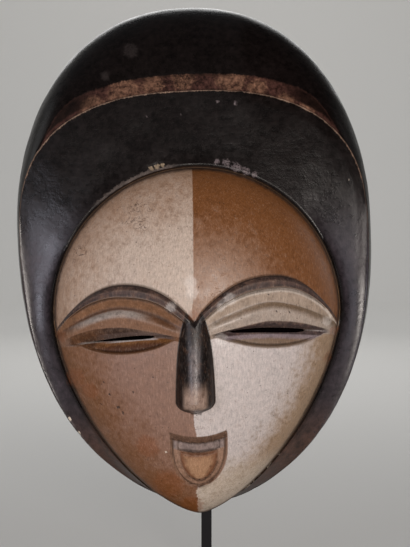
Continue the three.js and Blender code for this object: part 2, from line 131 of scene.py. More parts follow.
def drift(x, z):
    """The carver's middle line wanders to the left as it goes down."""
    near_nose = 1 - ramp(*NOSE_SET["across"], np.abs(x))
    at_nose = near_nose * (1 - ramp(*NOSE_SET["above"], z)) * ramp(*NOSE_SET["below"], z)
    angle = np.arctan2(z, x)
    seam, edge = reach_of(FACE, angle), reach_of(HOOD_EDGE, angle)
    faded = ramp(seam, np.maximum(edge, seam + DRIFT_FADE), np.hypot(x, z))
    return MIDLINE_DRIFT * np.minimum(0, z) * (1 - faded) + NOSE_SET["shift"] * at_nose


print("face at the bridge, mm:", reach_of(FACE, np.array([0.0, math.pi / 2, -math.pi / 2])).round(1))

# %% [markdown]
# ## Brows and eyes
# Each eye is a stack of carved lines, from the top of the brow down to the cheek. A line rises to
# one highest place and falls away to both sides. Between two lines the knife leaves a smooth slope.
# The lines could be sculpted, but as heights over X one list of numbers gives both the relief and,
# later, the rows of the mesh that keep its edges crisp.

# %% The lines of the eyes
EYE_END = 80
BROW_END = 84
LINES = ("brow", "crease", "lid", "almond", "slit", "rim")
# at, top, drop towards the nose, drop towards the ear, and how sharply it turns down on each side; an
# opening has its start, its end and its thickness
LEFT_EYE = dict(
    brow=(44, 21, 23.5, 23.5, 2.2, 2),
    crease=(46, 7.2, 17.5, 15, 1.65, 1.7),
    lid=(44, 2.6, 15.5, 14, 1.2, 2.1),
    almond=(46, -4.6, 9.2, 9.5, 1.2, 2.4),
    slit=(30, -10.8, 4, 5.2, 3, 1.35),
    rim=(46, -21, -14, -12, 2, 2.2),
    opening=(25.4167, 63.5, 2.7),
)
RIGHT_EYE = dict(
    brow=(46, 23, 25.5, 26, 2.35, 2.15),
    crease=(44, 7.4, 17.5, 15, 1.65, 1.7),
    lid=(43, 3, 15.5, 14, 1.2, 2.1),
    almond=(42, -4.2, 9.2, 10, 1.2, 2),
    slit=(34, -9.2, 5.5, 5, 3, 1.5),
    rim=(50, -20.6, -15, -9, 2, 2.2),
    opening=(19.5, 65.5, 3.5),
)
print("lines of each eye, from the top:", ", ".join(LINES))

# %% One line over X, and the thickness of a brow
BROW_THICK = dict(middle=7.2, inner=5.6, outer=1.5, fall=1.5, shoulder=0.14, crest=0.45, at=41)


def arch(line, side):
    """Height of a line at each distance from the middle."""
    at, top, inner_drop, outer_drop, inner_power, outer_power = line
    inner = side < at
    span = np.where(inner, at, BROW_END - at)
    drop = np.where(inner, inner_drop, outer_drop)
    return top - drop * np.abs((side - at) / span) ** np.where(inner, inner_power, outer_power)


def brow_thickness(side):
    """A brow is thickest over the eye and thins to both ends."""
    t = BROW_THICK
    inner = mix(t["inner"], t["middle"], 1 - (1 - side / t["at"]) ** 2)
    past = np.clip((side - t["at"]) / (BROW_END - t["at"]), 0, 1)
    return np.where(side < t["at"], inner, mix(t["middle"], t["outer"], past ** t["fall"]))


print("brow over the eye, mm thick:", brow_thickness(np.array([10.0, 41.0, 70.0])).round(1))

# %% All the lines of an eye together
UNDERCUT, RIM_STEP, CHEEK_START, LINE_GAP = 1.0, 1.7, 4, 0.8
# the places of the main lines among the twelve
BROW_TOP, BROW_FOOT, CREASE, ALMOND, SLIT, RIM = 0, 3, 5, 7, 8, 10


def eye_lines(x, drawn_in=False):
    """Heights of the twelve lines at each x, from the top of the brow to the cheek. Past the ends of
    the eyes the rows of the net are drawn in, because the outline of the face closes there."""
    side = np.minimum(np.abs(x), EYE_END) if drawn_in else np.abs(x)
    thick = brow_thickness(side)
    arches = {
        name: np.where(x < 0, arch(LEFT_EYE[name], side), arch(RIGHT_EYE[name], side))
        for name in LINES
    }
    brow, rim = arches["brow"], arches["rim"]
    lines = [brow] + [brow - thick * share for share in (BROW_THICK["shoulder"], BROW_THICK["crest"], 1)]
    lines += [brow - thick - UNDERCUT] + [arches[name] for name in LINES[1:5]]
    lines += [rim + RIM_STEP, rim, rim - CHEEK_START]
    for k in range(1, len(lines)):
        lines[k] = np.minimum(lines[k], lines[k - 1] - LINE_GAP)
    lines = np.stack(lines, -1)
    if not drawn_in:
        return lines
    upper = face_end(x, FACE["up"]) / face_end(EYE_END, FACE["up"])
    lower = face_end(x, FACE["down"]) / face_end(EYE_END, FACE["down"])
    squeezed = np.where(lines > 0, lines * upper[..., None], lines * lower[..., None])
    return np.where((np.abs(x) > EYE_END)[..., None], squeezed, lines)


print("lines at the left eye's middle, mm:", eye_lines(np.array([-45.0])).round(1))

# %% How far each line stands out or in
BROW_RELIEF = (0, 2, 3.4, 2.8)
LEFT_SOCKET_RELIEF = (-0.6, -3.2, -0.3, -1.7, -5.4, -3.1, -0.2, 0)
RIGHT_SOCKET_RELIEF = (-0.6, -1.7, -0.3, -1.5, -5.4, -3.1, -0.2, 0)
# the share of a brow's relief over the nose and at the ear, and where the fades run, in mm from the middle
BROW_FADE = dict(nose=0.75, nose_end=12, ear=0.3, ear_start=62)
SOCKET_FADE = dict(nose=(6, 18), ear=(62, 85))


def eye_relief(x, z):
    """The relief between the two lines that a point lies between."""
    side = np.abs(x)
    inner = mix(BROW_FADE["nose"], 1, ramp(0, BROW_FADE["nose_end"], side))
    brow = inner * mix(1, BROW_FADE["ear"], ramp(BROW_FADE["ear_start"], BROW_END, side))
    socket = ramp(*SOCKET_FADE["nose"], side) * (1 - ramp(*SOCKET_FADE["ear"], side))
    reliefs = [r * brow for r in BROW_RELIEF]
    reliefs += [np.where(x < 0, *both) * socket for both in zip(LEFT_SOCKET_RELIEF, RIGHT_SOCKET_RELIEF)]
    reliefs = np.stack(reliefs, -1)
    lines = eye_lines(x)
    below = (lines > z[..., None]).sum(-1)
    inside = (below > 0) & (below < lines.shape[-1])
    k = np.clip(below, 1, lines.shape[-1] - 1)[..., None]
    low, high = (np.take_along_axis(lines, j, -1)[..., 0] for j in (k, k - 1))
    at_low, at_high = (np.take_along_axis(reliefs, j, -1)[..., 0] for j in (k, k - 1))
    return np.where(inside, mix(at_low, at_high, ramp(low, high, z)), 0)


print("relief at the left slit, mm:", eye_relief(np.array([-45.0]), np.array([-12.0])).round(1))

# %% [markdown]
# ## Nose and mouth
# The nose is a long narrow ridge that grows forwards as it goes down and closes in a round tip. The
# mouth is a U-shaped pocket: an upper lip, a strip of teeth under it, and a rounded tongue. Each is a
# small formula that is added to the egg of the face, so its size can still be changed by one number.

# %% The nose
# heights, half width and how far it stands out in mm, and then the powers that round it
NOSE = dict(top=-2.6, rise=3.6, widest=-50, tip=-57.6, half=11.6, taper=6.2, length=16, bridge=3.2, out=15.5)
NOSE_FORM = dict(steady_above=40, grow=1.15, crown=0.68, tip_round=0.55)


def nose_half(z):
    """Half the width of the nose, which narrows upwards to the bridge."""
    return NOSE["half"] - NOSE["taper"] * np.exp(np.minimum(z, NOSE_FORM["steady_above"]) / NOSE["length"])


def nose_round(z):
    """What the round end of the nose leaves of its width below the widest place."""
    past = np.maximum(0, NOSE["widest"] - z) / (NOSE["widest"] - NOSE["tip"])
    return np.sqrt(np.maximum(0, 1 - past**2))


def nose_relief(x, z):
    half = np.maximum(nose_half(z) * nose_round(z), 1e-3)
    across = np.clip(np.abs(x) / half, 0, 1)
    down = np.clip((NOSE["top"] - z) / (NOSE["top"] - NOSE["widest"]), 0, 1)
    below_brow = eye_lines(x)[..., BROW_TOP] - z
    height = mix(NOSE["bridge"], NOSE["out"], down ** NOSE_FORM["grow"]) * ramp(0, NOSE["rise"], below_brow)
    height = height * nose_round(z) ** (2 * NOSE_FORM["tip_round"])
    on_nose = (below_brow > 0) & (z >= NOSE["tip"])
    return np.where(on_nose, height * (1 - across**2) ** NOSE_FORM["crown"], 0)


print("nose from bridge to tip, half width in mm:", nose_half(np.array([0, -25, -50])).round(1))

# %% The mouth
MOUTH = dict(half=17.6, top=-72, rise=3.5, shoulder=-80, bottom=-104.3, depth=2.8, slope=2)
LIP = dict(height=4.4, depth=1.9)
TEETH = dict(bottom=-82.4, rise=3.4, half=13, depth=3.9)
TONGUE = dict(half=11.6, top=-83.2, bottom=-100, crown=3.4, step=1.5)


def u_half(half, shoulder, bottom, z):
    """Half width of a U that keeps its width down to its shoulder and closes at the bottom."""
    down = np.clip((z - shoulder) / (bottom - shoulder), 0, 1)
    return half * np.sqrt(1 - down**2)


def mouth_places(x, z):
    """Distances inside the mouth's edge, below its top line, above the teeth's end and on the tongue."""
    across = np.abs(x)
    sag = np.minimum(1, across / MOUTH["half"]) ** 2
    top = MOUTH["top"] + MOUTH["rise"] * sag
    wall = u_half(MOUTH["half"], MOUTH["shoulder"], MOUTH["bottom"], z) - across
    room = np.minimum(wall, top - z)
    teeth = z - (TEETH["bottom"] + TEETH["rise"] * sag)
    tongue = u_half(TONGUE["half"], TONGUE["top"], TONGUE["bottom"], z) - across
    return room, top - z, teeth, tongue


def mouth_relief(x, z):
    room, below_top, teeth, tongue = mouth_places(x, z)
    edge = ramp(0, MOUTH["slope"], room)
    half = np.maximum(tongue + np.abs(x), 1e-3)
    crown = TONGUE["crown"] * np.sqrt(np.clip(1 - (np.abs(x) / half) ** 2, 0, 1))
    crown = np.where((teeth < 0) & (tongue > 0), crown * ramp(0, TONGUE["step"], -teeth), 0)
    relief = crown - MOUTH["depth"] * edge
    relief = np.where((np.abs(x) < TEETH["half"]) & (teeth > 0), -TEETH["depth"] * edge, relief)
    on_lip = below_top < LIP["height"]
    relief = np.where(on_lip, -LIP["depth"] * ramp(0, LIP["height"], below_top) * edge, relief)
    return np.where(room > 0, relief, 0)


print("crown of the tongue, mm:", mouth_relief(np.array([0.0]), np.array([-92.0])).round(1))

# %% The whole face
SEAM_DEPTH = 78.5
BULGE = dict(out=37.5, brow=2.3, chin=3.5, roll=0.62)
MIDLINE_SOFT = 2.5


def bare_depth(share, down):
    """The egg of the face with nothing carved on it, at a share of the way out to its outline."""
    fall = mix(BULGE["brow"], BULGE["chin"], np.clip(down, 0, 1))
    return SEAM_DEPTH + BULGE["out"] * (1 - share**fall) ** BULGE["roll"]


def face_share(x, z):
    """Share of the way out to the outline, without the crease that its pointed chin would leave."""
    soft_x = np.where(x < 0, -1, 1) * np.hypot(x, MIDLINE_SOFT)
    return np.clip(np.hypot(x, z) / np.maximum(reach_of(FACE, np.arctan2(z, soft_x)), 1e-6), 0, 1)


def face_depth(x, z):
    nose = nose_relief(x, z)
    eye = eye_relief(x, z)
    relief = np.where(nose > 0, np.maximum(nose, eye), eye)
    return bare_depth(face_share(x, z), -z / FACE["down"][0]) + relief + mouth_relief(x, z)


print("tip of the nose, mm in front of the rim:", face_depth(np.array([0.0]), np.array([-50.0])).round(1))

# %% [markdown]
# ## The face as a net
# Columns run from the forehead to the chin and rows follow the carved lines, so every edge that the
# knife left has its own line of points. An even grid would need many more points for the same edges.
# Beside the nose the columns close in on it.

# %% Columns
FINE, NOSE_STEP = 1.15, 0.6  # mm between the points, and between the columns of the nose
FINER = dict(nose_tip=(-49, -59, 0.4), mouth=(-70, -106, 0.85))  # from, to and the step between rows
NOSE_COLUMNS = (0, 3.6, 7.2, 9.8, 11.5, 12.4)
MOUTH_COLUMNS = (15, 16.6, 18)
EYE_COLUMNS = (21, 74)
SIDE_COLUMNS = 16


def subdivide(marks, step):
    """The marks, with even points between them about a step apart."""
    out = [marks[0]]
    for a, b in zip(marks, marks[1:]):
        count = max(1, math.ceil(abs(b - a) / step))
        out += [mix(a, b, (i + 1) / count) for i in range(count)]
    return np.array(out)


def columns():
    """X of every column at the height of the eyes."""
    start, end = EYE_COLUMNS
    inner = subdivide(NOSE_COLUMNS, NOSE_STEP)
    middle = subdivide((NOSE_COLUMNS[-1], *MOUTH_COLUMNS, start), FINER["mouth"][-1])
    middle = np.concatenate([middle, subdivide((start, end), FINE)[1:]])
    turns = np.linspace(math.acos(end / FACE["half"]), 0, SIDE_COLUMNS)
    half = np.concatenate([inner, middle[1:], (FACE["half"] * np.cos(turns))[1:]])
    return np.concatenate([-half[:0:-1], half])


print("columns:", len(columns()))

# %% Rows
FOREHEAD_ROWS = (0, 0.012, 0.05, 0.12, 0.22, 0.35, 0.5, 0.66, 0.83)  # shares of the way down to the brow
CHEEK_ROWS = (-26, -32, -38, -44, -49.5, -53.5, -55.6, -56.6, -57.2, -57.5, -57.7, -58.5, -63, -67.5)
MOUTH_ROWS = (-70.8, -72.6, -75.4, -77.2, -79.6, -82, -83.8, -86.5, -90, -93.5, -97, -100, -102.6, -105)
CHIN_ROWS = (-110, -116, -121, -124.4)


def row_marks(x):
    """Heights of the main rows at each x: forehead, eye lines, cheek, mouth and chin."""
    top, chin = face_end(x, FACE["up"]), -face_end(x, FACE["down"])
    lines = eye_lines(x, drawn_in=True)
    middle_cheek = eye_lines(np.zeros(1))[0, -1]
    forehead = [mix(top, lines[..., BROW_TOP], t) for t in FOREHEAD_ROWS]
    lower = (*CHEEK_ROWS, *MOUTH_ROWS, *CHIN_ROWS, -FACE["down"][0])
    shares = [(middle_cheek - z) / (middle_cheek + FACE["down"][0]) for z in lower]
    cheek = lines[..., -1]
    lines = [lines[..., k] for k in range(lines.shape[-1])]
    return np.stack(forehead + lines + [mix(cheek, chin, t) for t in shares], -1)


print("main rows:", row_marks(np.zeros(1)).shape[-1])

# %% The net of the face
NOSE_CLOSE = dict(margin=0.4, bridge=-5, least=0.3, above=(2, 25), below=(-58, -66))
CHEEK_X, ROUNDS = 30.0, 12  # where rows are counted, and how often rows and columns are fitted together


def column_at(column, z):
    """Where a column runs at each height: beside the nose it closes in on it."""
    edge, end, c = NOSE_COLUMNS[-1], EYE_COLUMNS[0], NOSE_CLOSE
    tight = (nose_half(np.minimum(z, c["bridge"])) + c["margin"]) / edge
    tight = tight * np.maximum(c["least"], nose_round(z))
    close = mix(tight, 1, np.maximum(ramp(*c["above"], z), ramp(*c["below"], z)))
    side = np.abs(column)
    near = np.where(side <= edge, side * close, mix(edge * close, end, (side - edge) / (end - edge)))
    return np.sign(column) * np.where(side >= end, side, near)


def face_net():
    """X and Z of every point of the face, as grids of rows by columns."""
    on_middle, marks = row_marks(np.array([0.0, CHEEK_X]))
    places = [0.0]
    for k in range(len(marks) - 1):
        fine = [step for top, end, step in FINER.values() if end <= on_middle[k + 1] and on_middle[k] <= top]
        count = max(1, math.ceil((marks[k] - marks[k + 1]) / min([FINE, *fine])))
        places += [k + (i + 1) / count for i in range(count)]
    column, place = np.meshgrid(columns(), np.array(places))
    k = np.minimum(place.astype(int), len(marks) - 2)[..., None]
    x = column
    for _ in range(ROUNDS):
        marks = row_marks(x)
        above, under = (np.take_along_axis(marks, j, -1)[..., 0] for j in (k, k + 1))
        z = mix(above, under, place - k[..., 0])
        x = column_at(column, z)
    return x, z


face_x, face_z = face_net()
print("face net:", face_x.shape, "points")

# %% [markdown]
# ## The hood
# Round the face the hood is turned like a moulding: a lip beside the face, a broad dished band, a
# crisp edge, over the forehead a worn flat, then the dome that runs back to the flat rim. The
# profile changes with the direction it is looked at from the bridge of the nose. A Screw modifier
# turns only round things, so here the profile is worked out for every direction.

# %% Sizes of the hood
HOOD_LIP = dict(width=1.6, share=0.12, depth=79.5, chin_depth=74, chin_band=7)
EDGE_DEPTH = dict(side=76, top=70, top_power=2, chin=60, chin_power=4)
# over the forehead the band runs straight back, without a dish
DISH = dict(depth=2.2, full_band=20, power=0.7, fade=(0.15, 0.75))
EDGE_BEVEL = (0.6, 1.2)
CHAMFER = dict(width=9.5, depth=7, full=27, gone=45)
BODY_DEPTH = 14
HOOD_START = dict(top=18, side=62)
# the parts of the profile from the groove round the face to the back rim, with the rings in each
RINGS = dict(lip=2, band=34, edge=2, flat=8, dome=46, under=6)
START = {part: mark for mark, part in enumerate(RINGS)}
WALL = 10


def chamfer_share(angle):
    """How much of the worn flat there is in each direction: all of it on top, none at the sides."""
    from_top = np.abs(np.degrees(angle) - 90)
    return 1 - ramp(CHAMFER["full"], CHAMFER["gone"], np.minimum(from_top, 360 - from_top))


print("share of the flat at 90, 60 and 50 degrees:", chamfer_share(np.radians([90, 60, 50])).round(2))

# %% The hood's profile in one direction


def hood_profile(angle):
    """Stations of reach and depth, from the groove round the face to the back rim, and their marks,
    which rise by one along each part: 0 in the groove, 2 at the edge, 4 where the dome starts."""
    up, down = np.maximum(0, np.sin(angle)), np.maximum(0, -np.sin(angle))
    seam, edge, body, rim = (reach_of(o, angle) for o in (FACE, HOOD_EDGE, HOOD_BODY, BACK_RIM))
    band = edge - seam
    at_chin = 1 - ramp(0, HOOD_LIP["chin_band"], band)
    over_top = mix(EDGE_DEPTH["side"], EDGE_DEPTH["top"], up ** EDGE_DEPTH["top_power"])
    edge_depth = mix(over_top, EDGE_DEPTH["chin"], down ** EDGE_DEPTH["chin_power"])
    lip_reach = seam + np.minimum(HOOD_LIP["width"], band * HOOD_LIP["share"])
    lip_depth = mix(HOOD_LIP["depth"], HOOD_LIP["chin_depth"], at_chin)
    dished = DISH["depth"] * np.minimum(1, band / DISH["full_band"]) * (1 - ramp(*DISH["fade"], up))
    bevel = (edge + EDGE_BEVEL[0], edge_depth - EDGE_BEVEL[1])
    flat = chamfer_share(angle)
    start = (bevel[0] + CHAMFER["width"] * flat, bevel[1] - CHAMFER["depth"] * flat)
    lean = np.radians(mix(HOOD_START["side"], HOOD_START["top"], ramp(0, 1, up)))
    stations, marks = [], []

    def put(part, profile):
        """The stations of one part: the profile gives reach and depth at each share of the way."""
        for i in range(1, RINGS[part] + 1):
            t = i / RINGS[part]
            stations.append(np.stack(np.broadcast_arrays(*profile(t)), -1))
            marks.append(START[part] + t)

    def straight(start, end):
        return lambda t: (mix(start[0], end[0], t), mix(start[1], end[1], t))

    def band_profile(t):
        dish = dished * (4 * t * (1 - t)) ** DISH["power"]
        return mix(lip_reach, edge, t), mix(lip_depth, edge_depth, t) - dish

    def dome_profile(t):
        turn = mix(lean, math.pi / 2, t)
        out = (np.sin(turn) - np.sin(lean)) / (1 - np.sin(lean))
        back = (np.cos(lean) - np.cos(turn)) / np.cos(lean)
        return mix(start[0], body, out), mix(start[1], BODY_DEPTH, back)

    put("lip", straight((seam, SEAM_DEPTH), (lip_reach, lip_depth)))
    put("band", band_profile)
    put("edge", straight((edge, edge_depth), bevel))
    put("flat", straight(bevel, start))
    put("dome", dome_profile)
    put("under", straight((body, BODY_DEPTH), (rim, 0)))
    return np.stack(stations), np.array(marks)


# %% The rings of the hood, which start from the outline of the face
outline_x = np.concatenate([face_x[0], face_x[-1][-2:0:-1]])
outline_z = np.concatenate([face_z[0], face_z[-1][-2:0:-1]])
outline_angle = np.arctan2(outline_z, outline_x)
hood_stations, hood_marks = hood_profile(outline_angle)
hood_x = hood_stations[..., 0] * np.cos(outline_angle)
hood_z = hood_stations[..., 0] * np.sin(outline_angle)
hood_depth = hood_stations[..., 1]
print("hood rings:", hood_x.shape)

# %% The hollow behind, the same profile moved in by the thickness of the wall
HOLLOW_STEPS = (0, 0.08, 0.16, 0.24, 0.32, 0.4, 0.48, 0.56, 0.64, 0.72, 0.8, 0.87, 0.93)
KEPT_RING = 4  # behind the dome, one ring in so many is enough
NARROWEST = 1


def hollow_rings(angle):
    """Stations from the middle of the hollow to the rim, moved in along the profile's own normal."""
    seam = reach_of(FACE, angle)
    outer = []
    for t in HOLLOW_STEPS:
        outer.append(np.stack([seam * t, bare_depth(np.full_like(seam, t), -t * np.sin(angle))], -1))
    outer.append(np.stack([seam, np.full_like(seam, SEAM_DEPTH)], -1))
    for k, mark in enumerate(hood_marks):
        if mark == START["dome"] or (START["dome"] < mark < len(RINGS) and k % KEPT_RING == 0):
            outer.append(hood_stations[k])
    outer = np.stack([*outer, hood_stations[-1]])
    along = outer[2:] - outer[:-2]
    along /= np.linalg.norm(along, axis=-1, keepdims=True)
    moved = outer[1:-1] + np.stack([along[..., 1], -along[..., 0]], -1) * WALL
    rim = outer[-1, :, 0] - WALL
    moved[..., 0] = np.minimum(moved[..., 0], rim)
    moved[..., 0] = np.maximum(np.maximum.accumulate(moved[..., 0], axis=0), NARROWEST)
    return np.concatenate([moved, np.stack([rim, 0 * rim], -1)[None]])


hollow_stations = hollow_rings(outline_angle)
print("hollow rings:", hollow_stations.shape)

# %% [markdown]
# ## One closed skin
# Face, hood, back rim and hollow are rows of points that follow each other, so they close into one
# skin. With every point goes what a painter needs to know about it: how far it is from the seam of
# the face, from the middle, from the edge of the mouth and so on. The paint is laid on by these.

# %% Places on the face and the hood, in millimetres, for every point
face_angle = np.arctan2(face_z, face_x)
face_lines = eye_lines(face_x)
room, under_lip, teeth, tongue = mouth_places(face_x, face_z)
PAINT_LINE = dict(top=0.6, bottom=-1.2, end=87)  # x where the right-hand paint starts, and where top is
BARE = -99.0  # far from every place
face_fields = dict(
    from_seam=reach_of(FACE, face_angle) - np.hypot(face_x, face_z),
    right_of_line=face_x - mix(PAINT_LINE["bottom"], PAINT_LINE["top"], ramp(0, PAINT_LINE["end"], face_z)),
    from_middle=np.abs(face_x),
    height=face_z,
    on_brow=np.minimum(face_lines[..., BROW_TOP] - face_z, face_z - face_lines[..., BROW_FOOT]),
    under_brow=face_lines[..., BROW_FOOT] - face_z,
    above_crease=face_z - face_lines[..., CREASE],
    above_almond=face_z - face_lines[..., ALMOND],
    above_slit=face_z - face_lines[..., SLIT],
    above_rim=face_z - face_lines[..., RIM],
    on_nose=np.minimum(
        nose_half(face_z) * nose_round(face_z) - np.abs(face_x),
        np.minimum(face_lines[..., BROW_TOP] - face_z, face_z - NOSE["tip"]),
    ),
    in_mouth=room,
    under_lip=under_lip,
    on_teeth=teeth,
    on_tongue=np.minimum(tongue, -teeth),
    past_edge=np.full_like(face_x, BARE),
    on_flat=np.full_like(face_x, BARE),
    ring=np.zeros_like(face_x),
)
print("places on the face known to the painter:", len(face_fields))

# %% The same places on the hood
# how far the paint of the flat's wear reaches over its upper edge
FLAT_SPREAD = 2.6
steps = np.linalg.norm(np.diff(hood_stations, axis=0, prepend=hood_stations[:1]), axis=-1)
hood_length = steps.cumsum(0)
past_edge = hood_length - hood_length[hood_marks == START["edge"]]
flat_width = hood_length[hood_marks == START["dome"]] - hood_length[hood_marks == START["flat"]]
flat_width = flat_width + FLAT_SPREAD * chamfer_share(outline_angle)
hood_fields = dict(
    from_seam=reach_of(FACE, outline_angle) - hood_stations[..., 0],
    right_of_line=hood_x,
    from_middle=np.abs(hood_x),
    height=hood_z,
    past_edge=past_edge,
    on_flat=np.minimum(past_edge, flat_width - past_edge),
    ring=np.repeat(hood_marks[:, None], hood_x.shape[1], 1),
)
print("places on the hood:", ", ".join(hood_fields))

# %% The points and their faces
HOLLOW_RING = 8.0  # more than any mark of the hood
hollow_x = hollow_stations[..., 0] * np.cos(outline_angle)
hollow_z = hollow_stations[..., 0] * np.sin(outline_angle)
hollow_depth = hollow_stations[..., 1]
bare_hood, bare_hollow = np.full_like(hood_x, BARE), np.full_like(hollow_x, BARE)


def skin():
    """The faces: the net of the face, then ring after ring, then a fan that closes the hollow."""
    rows, cols = face_x.shape
    number = np.arange(rows * cols).reshape(rows, cols)
    a, b = number[:-1], number[1:]
    faces = [np.stack([a[:, :-1], b[:, :-1], b[:, 1:], a[:, 1:]], -1).reshape(-1, 4)]
    inner = np.concatenate([number[0], number[-1][-2:0:-1]])
    count = rows * cols
    for _ in range(len(hood_x) + len(hollow_x)):
        ring = count + np.arange(len(inner))
        faces.append(np.stack([ring, inner, np.roll(inner, -1), np.roll(ring, -1)], -1))
        inner = ring
        count += len(ring)
    faces.append(np.stack([np.full_like(inner, count), inner, np.roll(inner, -1), np.roll(inner, -1)], -1))
    return np.concatenate(faces)


def flat(face, hood, hollow, centre):
    """The values of all points in one row, from the face round the rim to the middle of the hollow."""
    return np.concatenate([face.ravel(), hood.ravel(), hollow[::-1].ravel(), [centre]])


x = flat(face_x, hood_x, hollow_x, 0.0)
z = flat(face_z, hood_z, hollow_z, 0.0)
depth = flat(face_depth(face_x, face_z), hood_depth, hollow_depth, SEAM_DEPTH + BULGE["out"] - WALL)
fields = {
    name: flat(values, hood_fields.get(name, bare_hood), bare_hollow, BARE)
    for name, values in face_fields.items()
}
fields["ring"][-hollow_x.size - 1 :] = HOLLOW_RING
outside = fields["ring"] < HOLLOW_RING
points = np.stack([x + np.where(outside, drift(x, z), 0), -depth, z], -1)
faces = skin()
print("net:", len(points), "points", len(faces), "faces")

# %% Welding the points that meet
WELD = 1e-3  # mm


def weld(points, faces):
    """One point for each place: returns the points kept and the faces with their repeats dropped."""
    _, first, same = np.unique((points / WELD).round(), axis=0, return_index=True, return_inverse=True)
    faces = same.reshape(-1)[faces]
    kept = []
    for f in faces.tolist():
        f = [v for i, v in enumerate(f) if v != f[i - 1]]
        if len(set(f)) == len(f) and len(f) > 2:
            kept.append(f)
    return first, kept


first, faces = weld(points, faces)
points, outside = points[first], outside[first]
fields = {name: values[first] for name, values in fields.items()}
print("skin:", len(points), "points", sum(len(f) - 2 for f in faces), "triangles")

# %% [markdown]
# ## What the years left
# A knife leaves shallow facets, a worn edge loses small nicks, and a knock takes a chip. A bump in
# the material could fake them, but an edge in profile would stay perfect. So they go into the mesh,
# always inwards along the surface's own normal, and nothing grows past the carved form. Where the
# skin bends sharply the paint is rubbed off, and where it is hollow it is darkened, as dirt and as
# painted shade in the creases.

# %% Normals and hollows of the skin
thirds = [(f[0], f[1], f[2]) for f in faces] + [(f[0], f[2], f[3]) for f in faces if len(f) == 4]
corners = np.array(thirds)
edges = np.concatenate([corners[:, :2], corners[:, 1:], corners[:, ::2]])
edges = np.unique(np.sort(edges, axis=1), axis=0)
SMOOTHINGS = 4
FULL_BEND = 0.4  # mm from the smoothed skin, where wear or dirt is full
GROOVE_END = 1.6  # the groove and the lip beside the face aren't touched by hands
CLEAN_BRIDGE = dict(height=-5, radius=6)  # the darkening of the hollows, dirt and painted shade, is kept off the bridge of the nose


def gather(values, at):
    """The sum of the values that belong to each point."""
    return np.stack([np.bincount(at, values[:, i], len(points)) for i in range(values.shape[1])], -1)


def normals(points):
    a, b, c = (points[corners[:, i]] for i in range(3))
    face_normal = np.cross(b - a, c - a)
    total = sum(gather(face_normal, corners[:, i]) for i in range(3))
    return total / np.maximum(np.linalg.norm(total, axis=1, keepdims=True), 1e-9)


def smoothed(values, rounds):
    """Each point moved half way to the middle of its neighbours, again and again."""
    degree = np.bincount(edges.ravel(), minlength=len(points))[:, None]
    for _ in range(rounds):
        around = gather(values[edges[:, 1]], edges[:, 0]) + gather(values[edges[:, 0]], edges[:, 1])
        values = mix(values, around / degree, 0.5)
    return values


normal = normals(points)
bent = ((smoothed(points, SMOOTHINGS) - points) * normal).sum(-1)
in_groove = (fields["ring"] > 0) & (fields["ring"] < GROOVE_END)
fields["worn"] = np.clip(-bent / FULL_BEND, 0, 1) * np.where(in_groove, 0, 1)
from_bridge = np.hypot(points[:, 0], points[:, 2] - CLEAN_BRIDGE["height"]) / CLEAN_BRIDGE["radius"]
# how hollow each point is, for the darkening laid on later: dirt, and painted shade in the creases
fields["hollow_dirt_and_shade"] = np.clip(bent / FULL_BEND, 0, 1) * (1 - np.exp(-(from_bridge**2)))
print("hollowest and sharpest places, mm:", bent.min().round(2), bent.max().round(2))

# %% Places that have a mark
# X and Z in mm from the bridge of the nose, the radius and the depth
MARKS = dict(
    scored=((-15, 143.5, 6, 0), (-4, 145, 7, 0), (7, 146, 6, 0)),
    tint=(
        (-1.5, 1.5, 4, 0), (84, -14, 4, 0), (80, -30, 4, 0), (-84, -10, 5, 0), (-76, -36, 8, 0),
        (-33, -78, 9, 0), (-22, -103, 12, 0), (-8, -118, 9, 0), (-67, -44, 7, 0),
    ),
    # pale: painted highlights, on the forehead above the nose, the inner brows, beside the nose and at the
    # corner of the right eye
    pale=(
        (-2.5, 21, 5, 0), (-2, 15, 5, 0), (79.5, -7, 4, 0), (20, 10, 5, 0), (15, 6, 4, 0),
        (-15, 7, 4, 0), (14, -14, 5, 0),
    ),
    chip=(
        (-82.5, -64, 1.2, 0.5), (-77, -74, 1.6, 0.8), (-88.5, 115, 1.1, 0.6), (-88.8, 117, 1, 0.6),
        (98, 78, 0.9, 0.4), (-21.8, -81.7, 0.9, 0.2),
    ),
    pit=(
        (-55, -45.5, 1.1, 0.4), (-50, -53.5, 1.3, 0.6), (-47, -57, 1.1, 0.5), (-58, -38, 0.8, 0.3),
        (-40, -44, 0.8, 0.3), (-33, -45, 0.7, 0.3), (-28, -35, 0.7, 0.2), (-66, -16, 0.8, 0.3),
        (-61, -52, 0.8, 0.3), (43, 2.4, 0.8, 0.3), (48, 1.6, 0.8, 0.3), (56, 0, 0.8, 0.3),
        (44, 12, 0.9, 0.3),
    ),
    scuff=(
        (16, 93, 2.4, 0), (22, 92, 3.4, 0), (28, 89, 4, 0), (34, 86.5, 3.6, 0), (39, 84, 2.6, 0),
        (18, 130.5, 1.6, 0), (29, 129, 1.8, 0), (-26.5, 123, 0.9, 0.1), (-4.8, 122.4, 0.9, 0.1),
    ),
    bare=((-24.5, 90.6, 1.9, 0.3), (-21, 91.8, 2, 0.4), (-17.5, 92.2, 1.5, 0.3)),
    smudge=((-35.5, 166, 6, 0), (-52, 150, 4, 0)),
    amber=(
        (-77, 114, 7, 0), (-60, 130, 10, 0), (-40, 138, 13, 0), (-22, 143, 9, 0), (-3, 146, 9, 0),
        (27, 145, 12, 0), (43, 138, 8, 0), (60, 128, 8, 0), (71, 120, 10, 0), (80, 110, 9, 0),
    ),
    cracked=((-32, 62, 13, 0), (-71, 40, 7, 0)),
)
MARK_EDGE = dict(sharp=0.55, ragged=0.35, size=1.6)
CHIP_FADE = (1, 3)  # mm past the edge of the hood, so that a chip doesn't run down its side
print("marks:", {kind: len(places) for kind, places in MARKS.items()})

# %% Facets, nicks and chips


def wander(points, size, seed=0.0):
    """Smooth noise from -1 to 1 whose waves are about size mm long."""
    moved = points / size + seed
    return np.array([noise.noise(Vector(p)) for p in moved.tolist()])


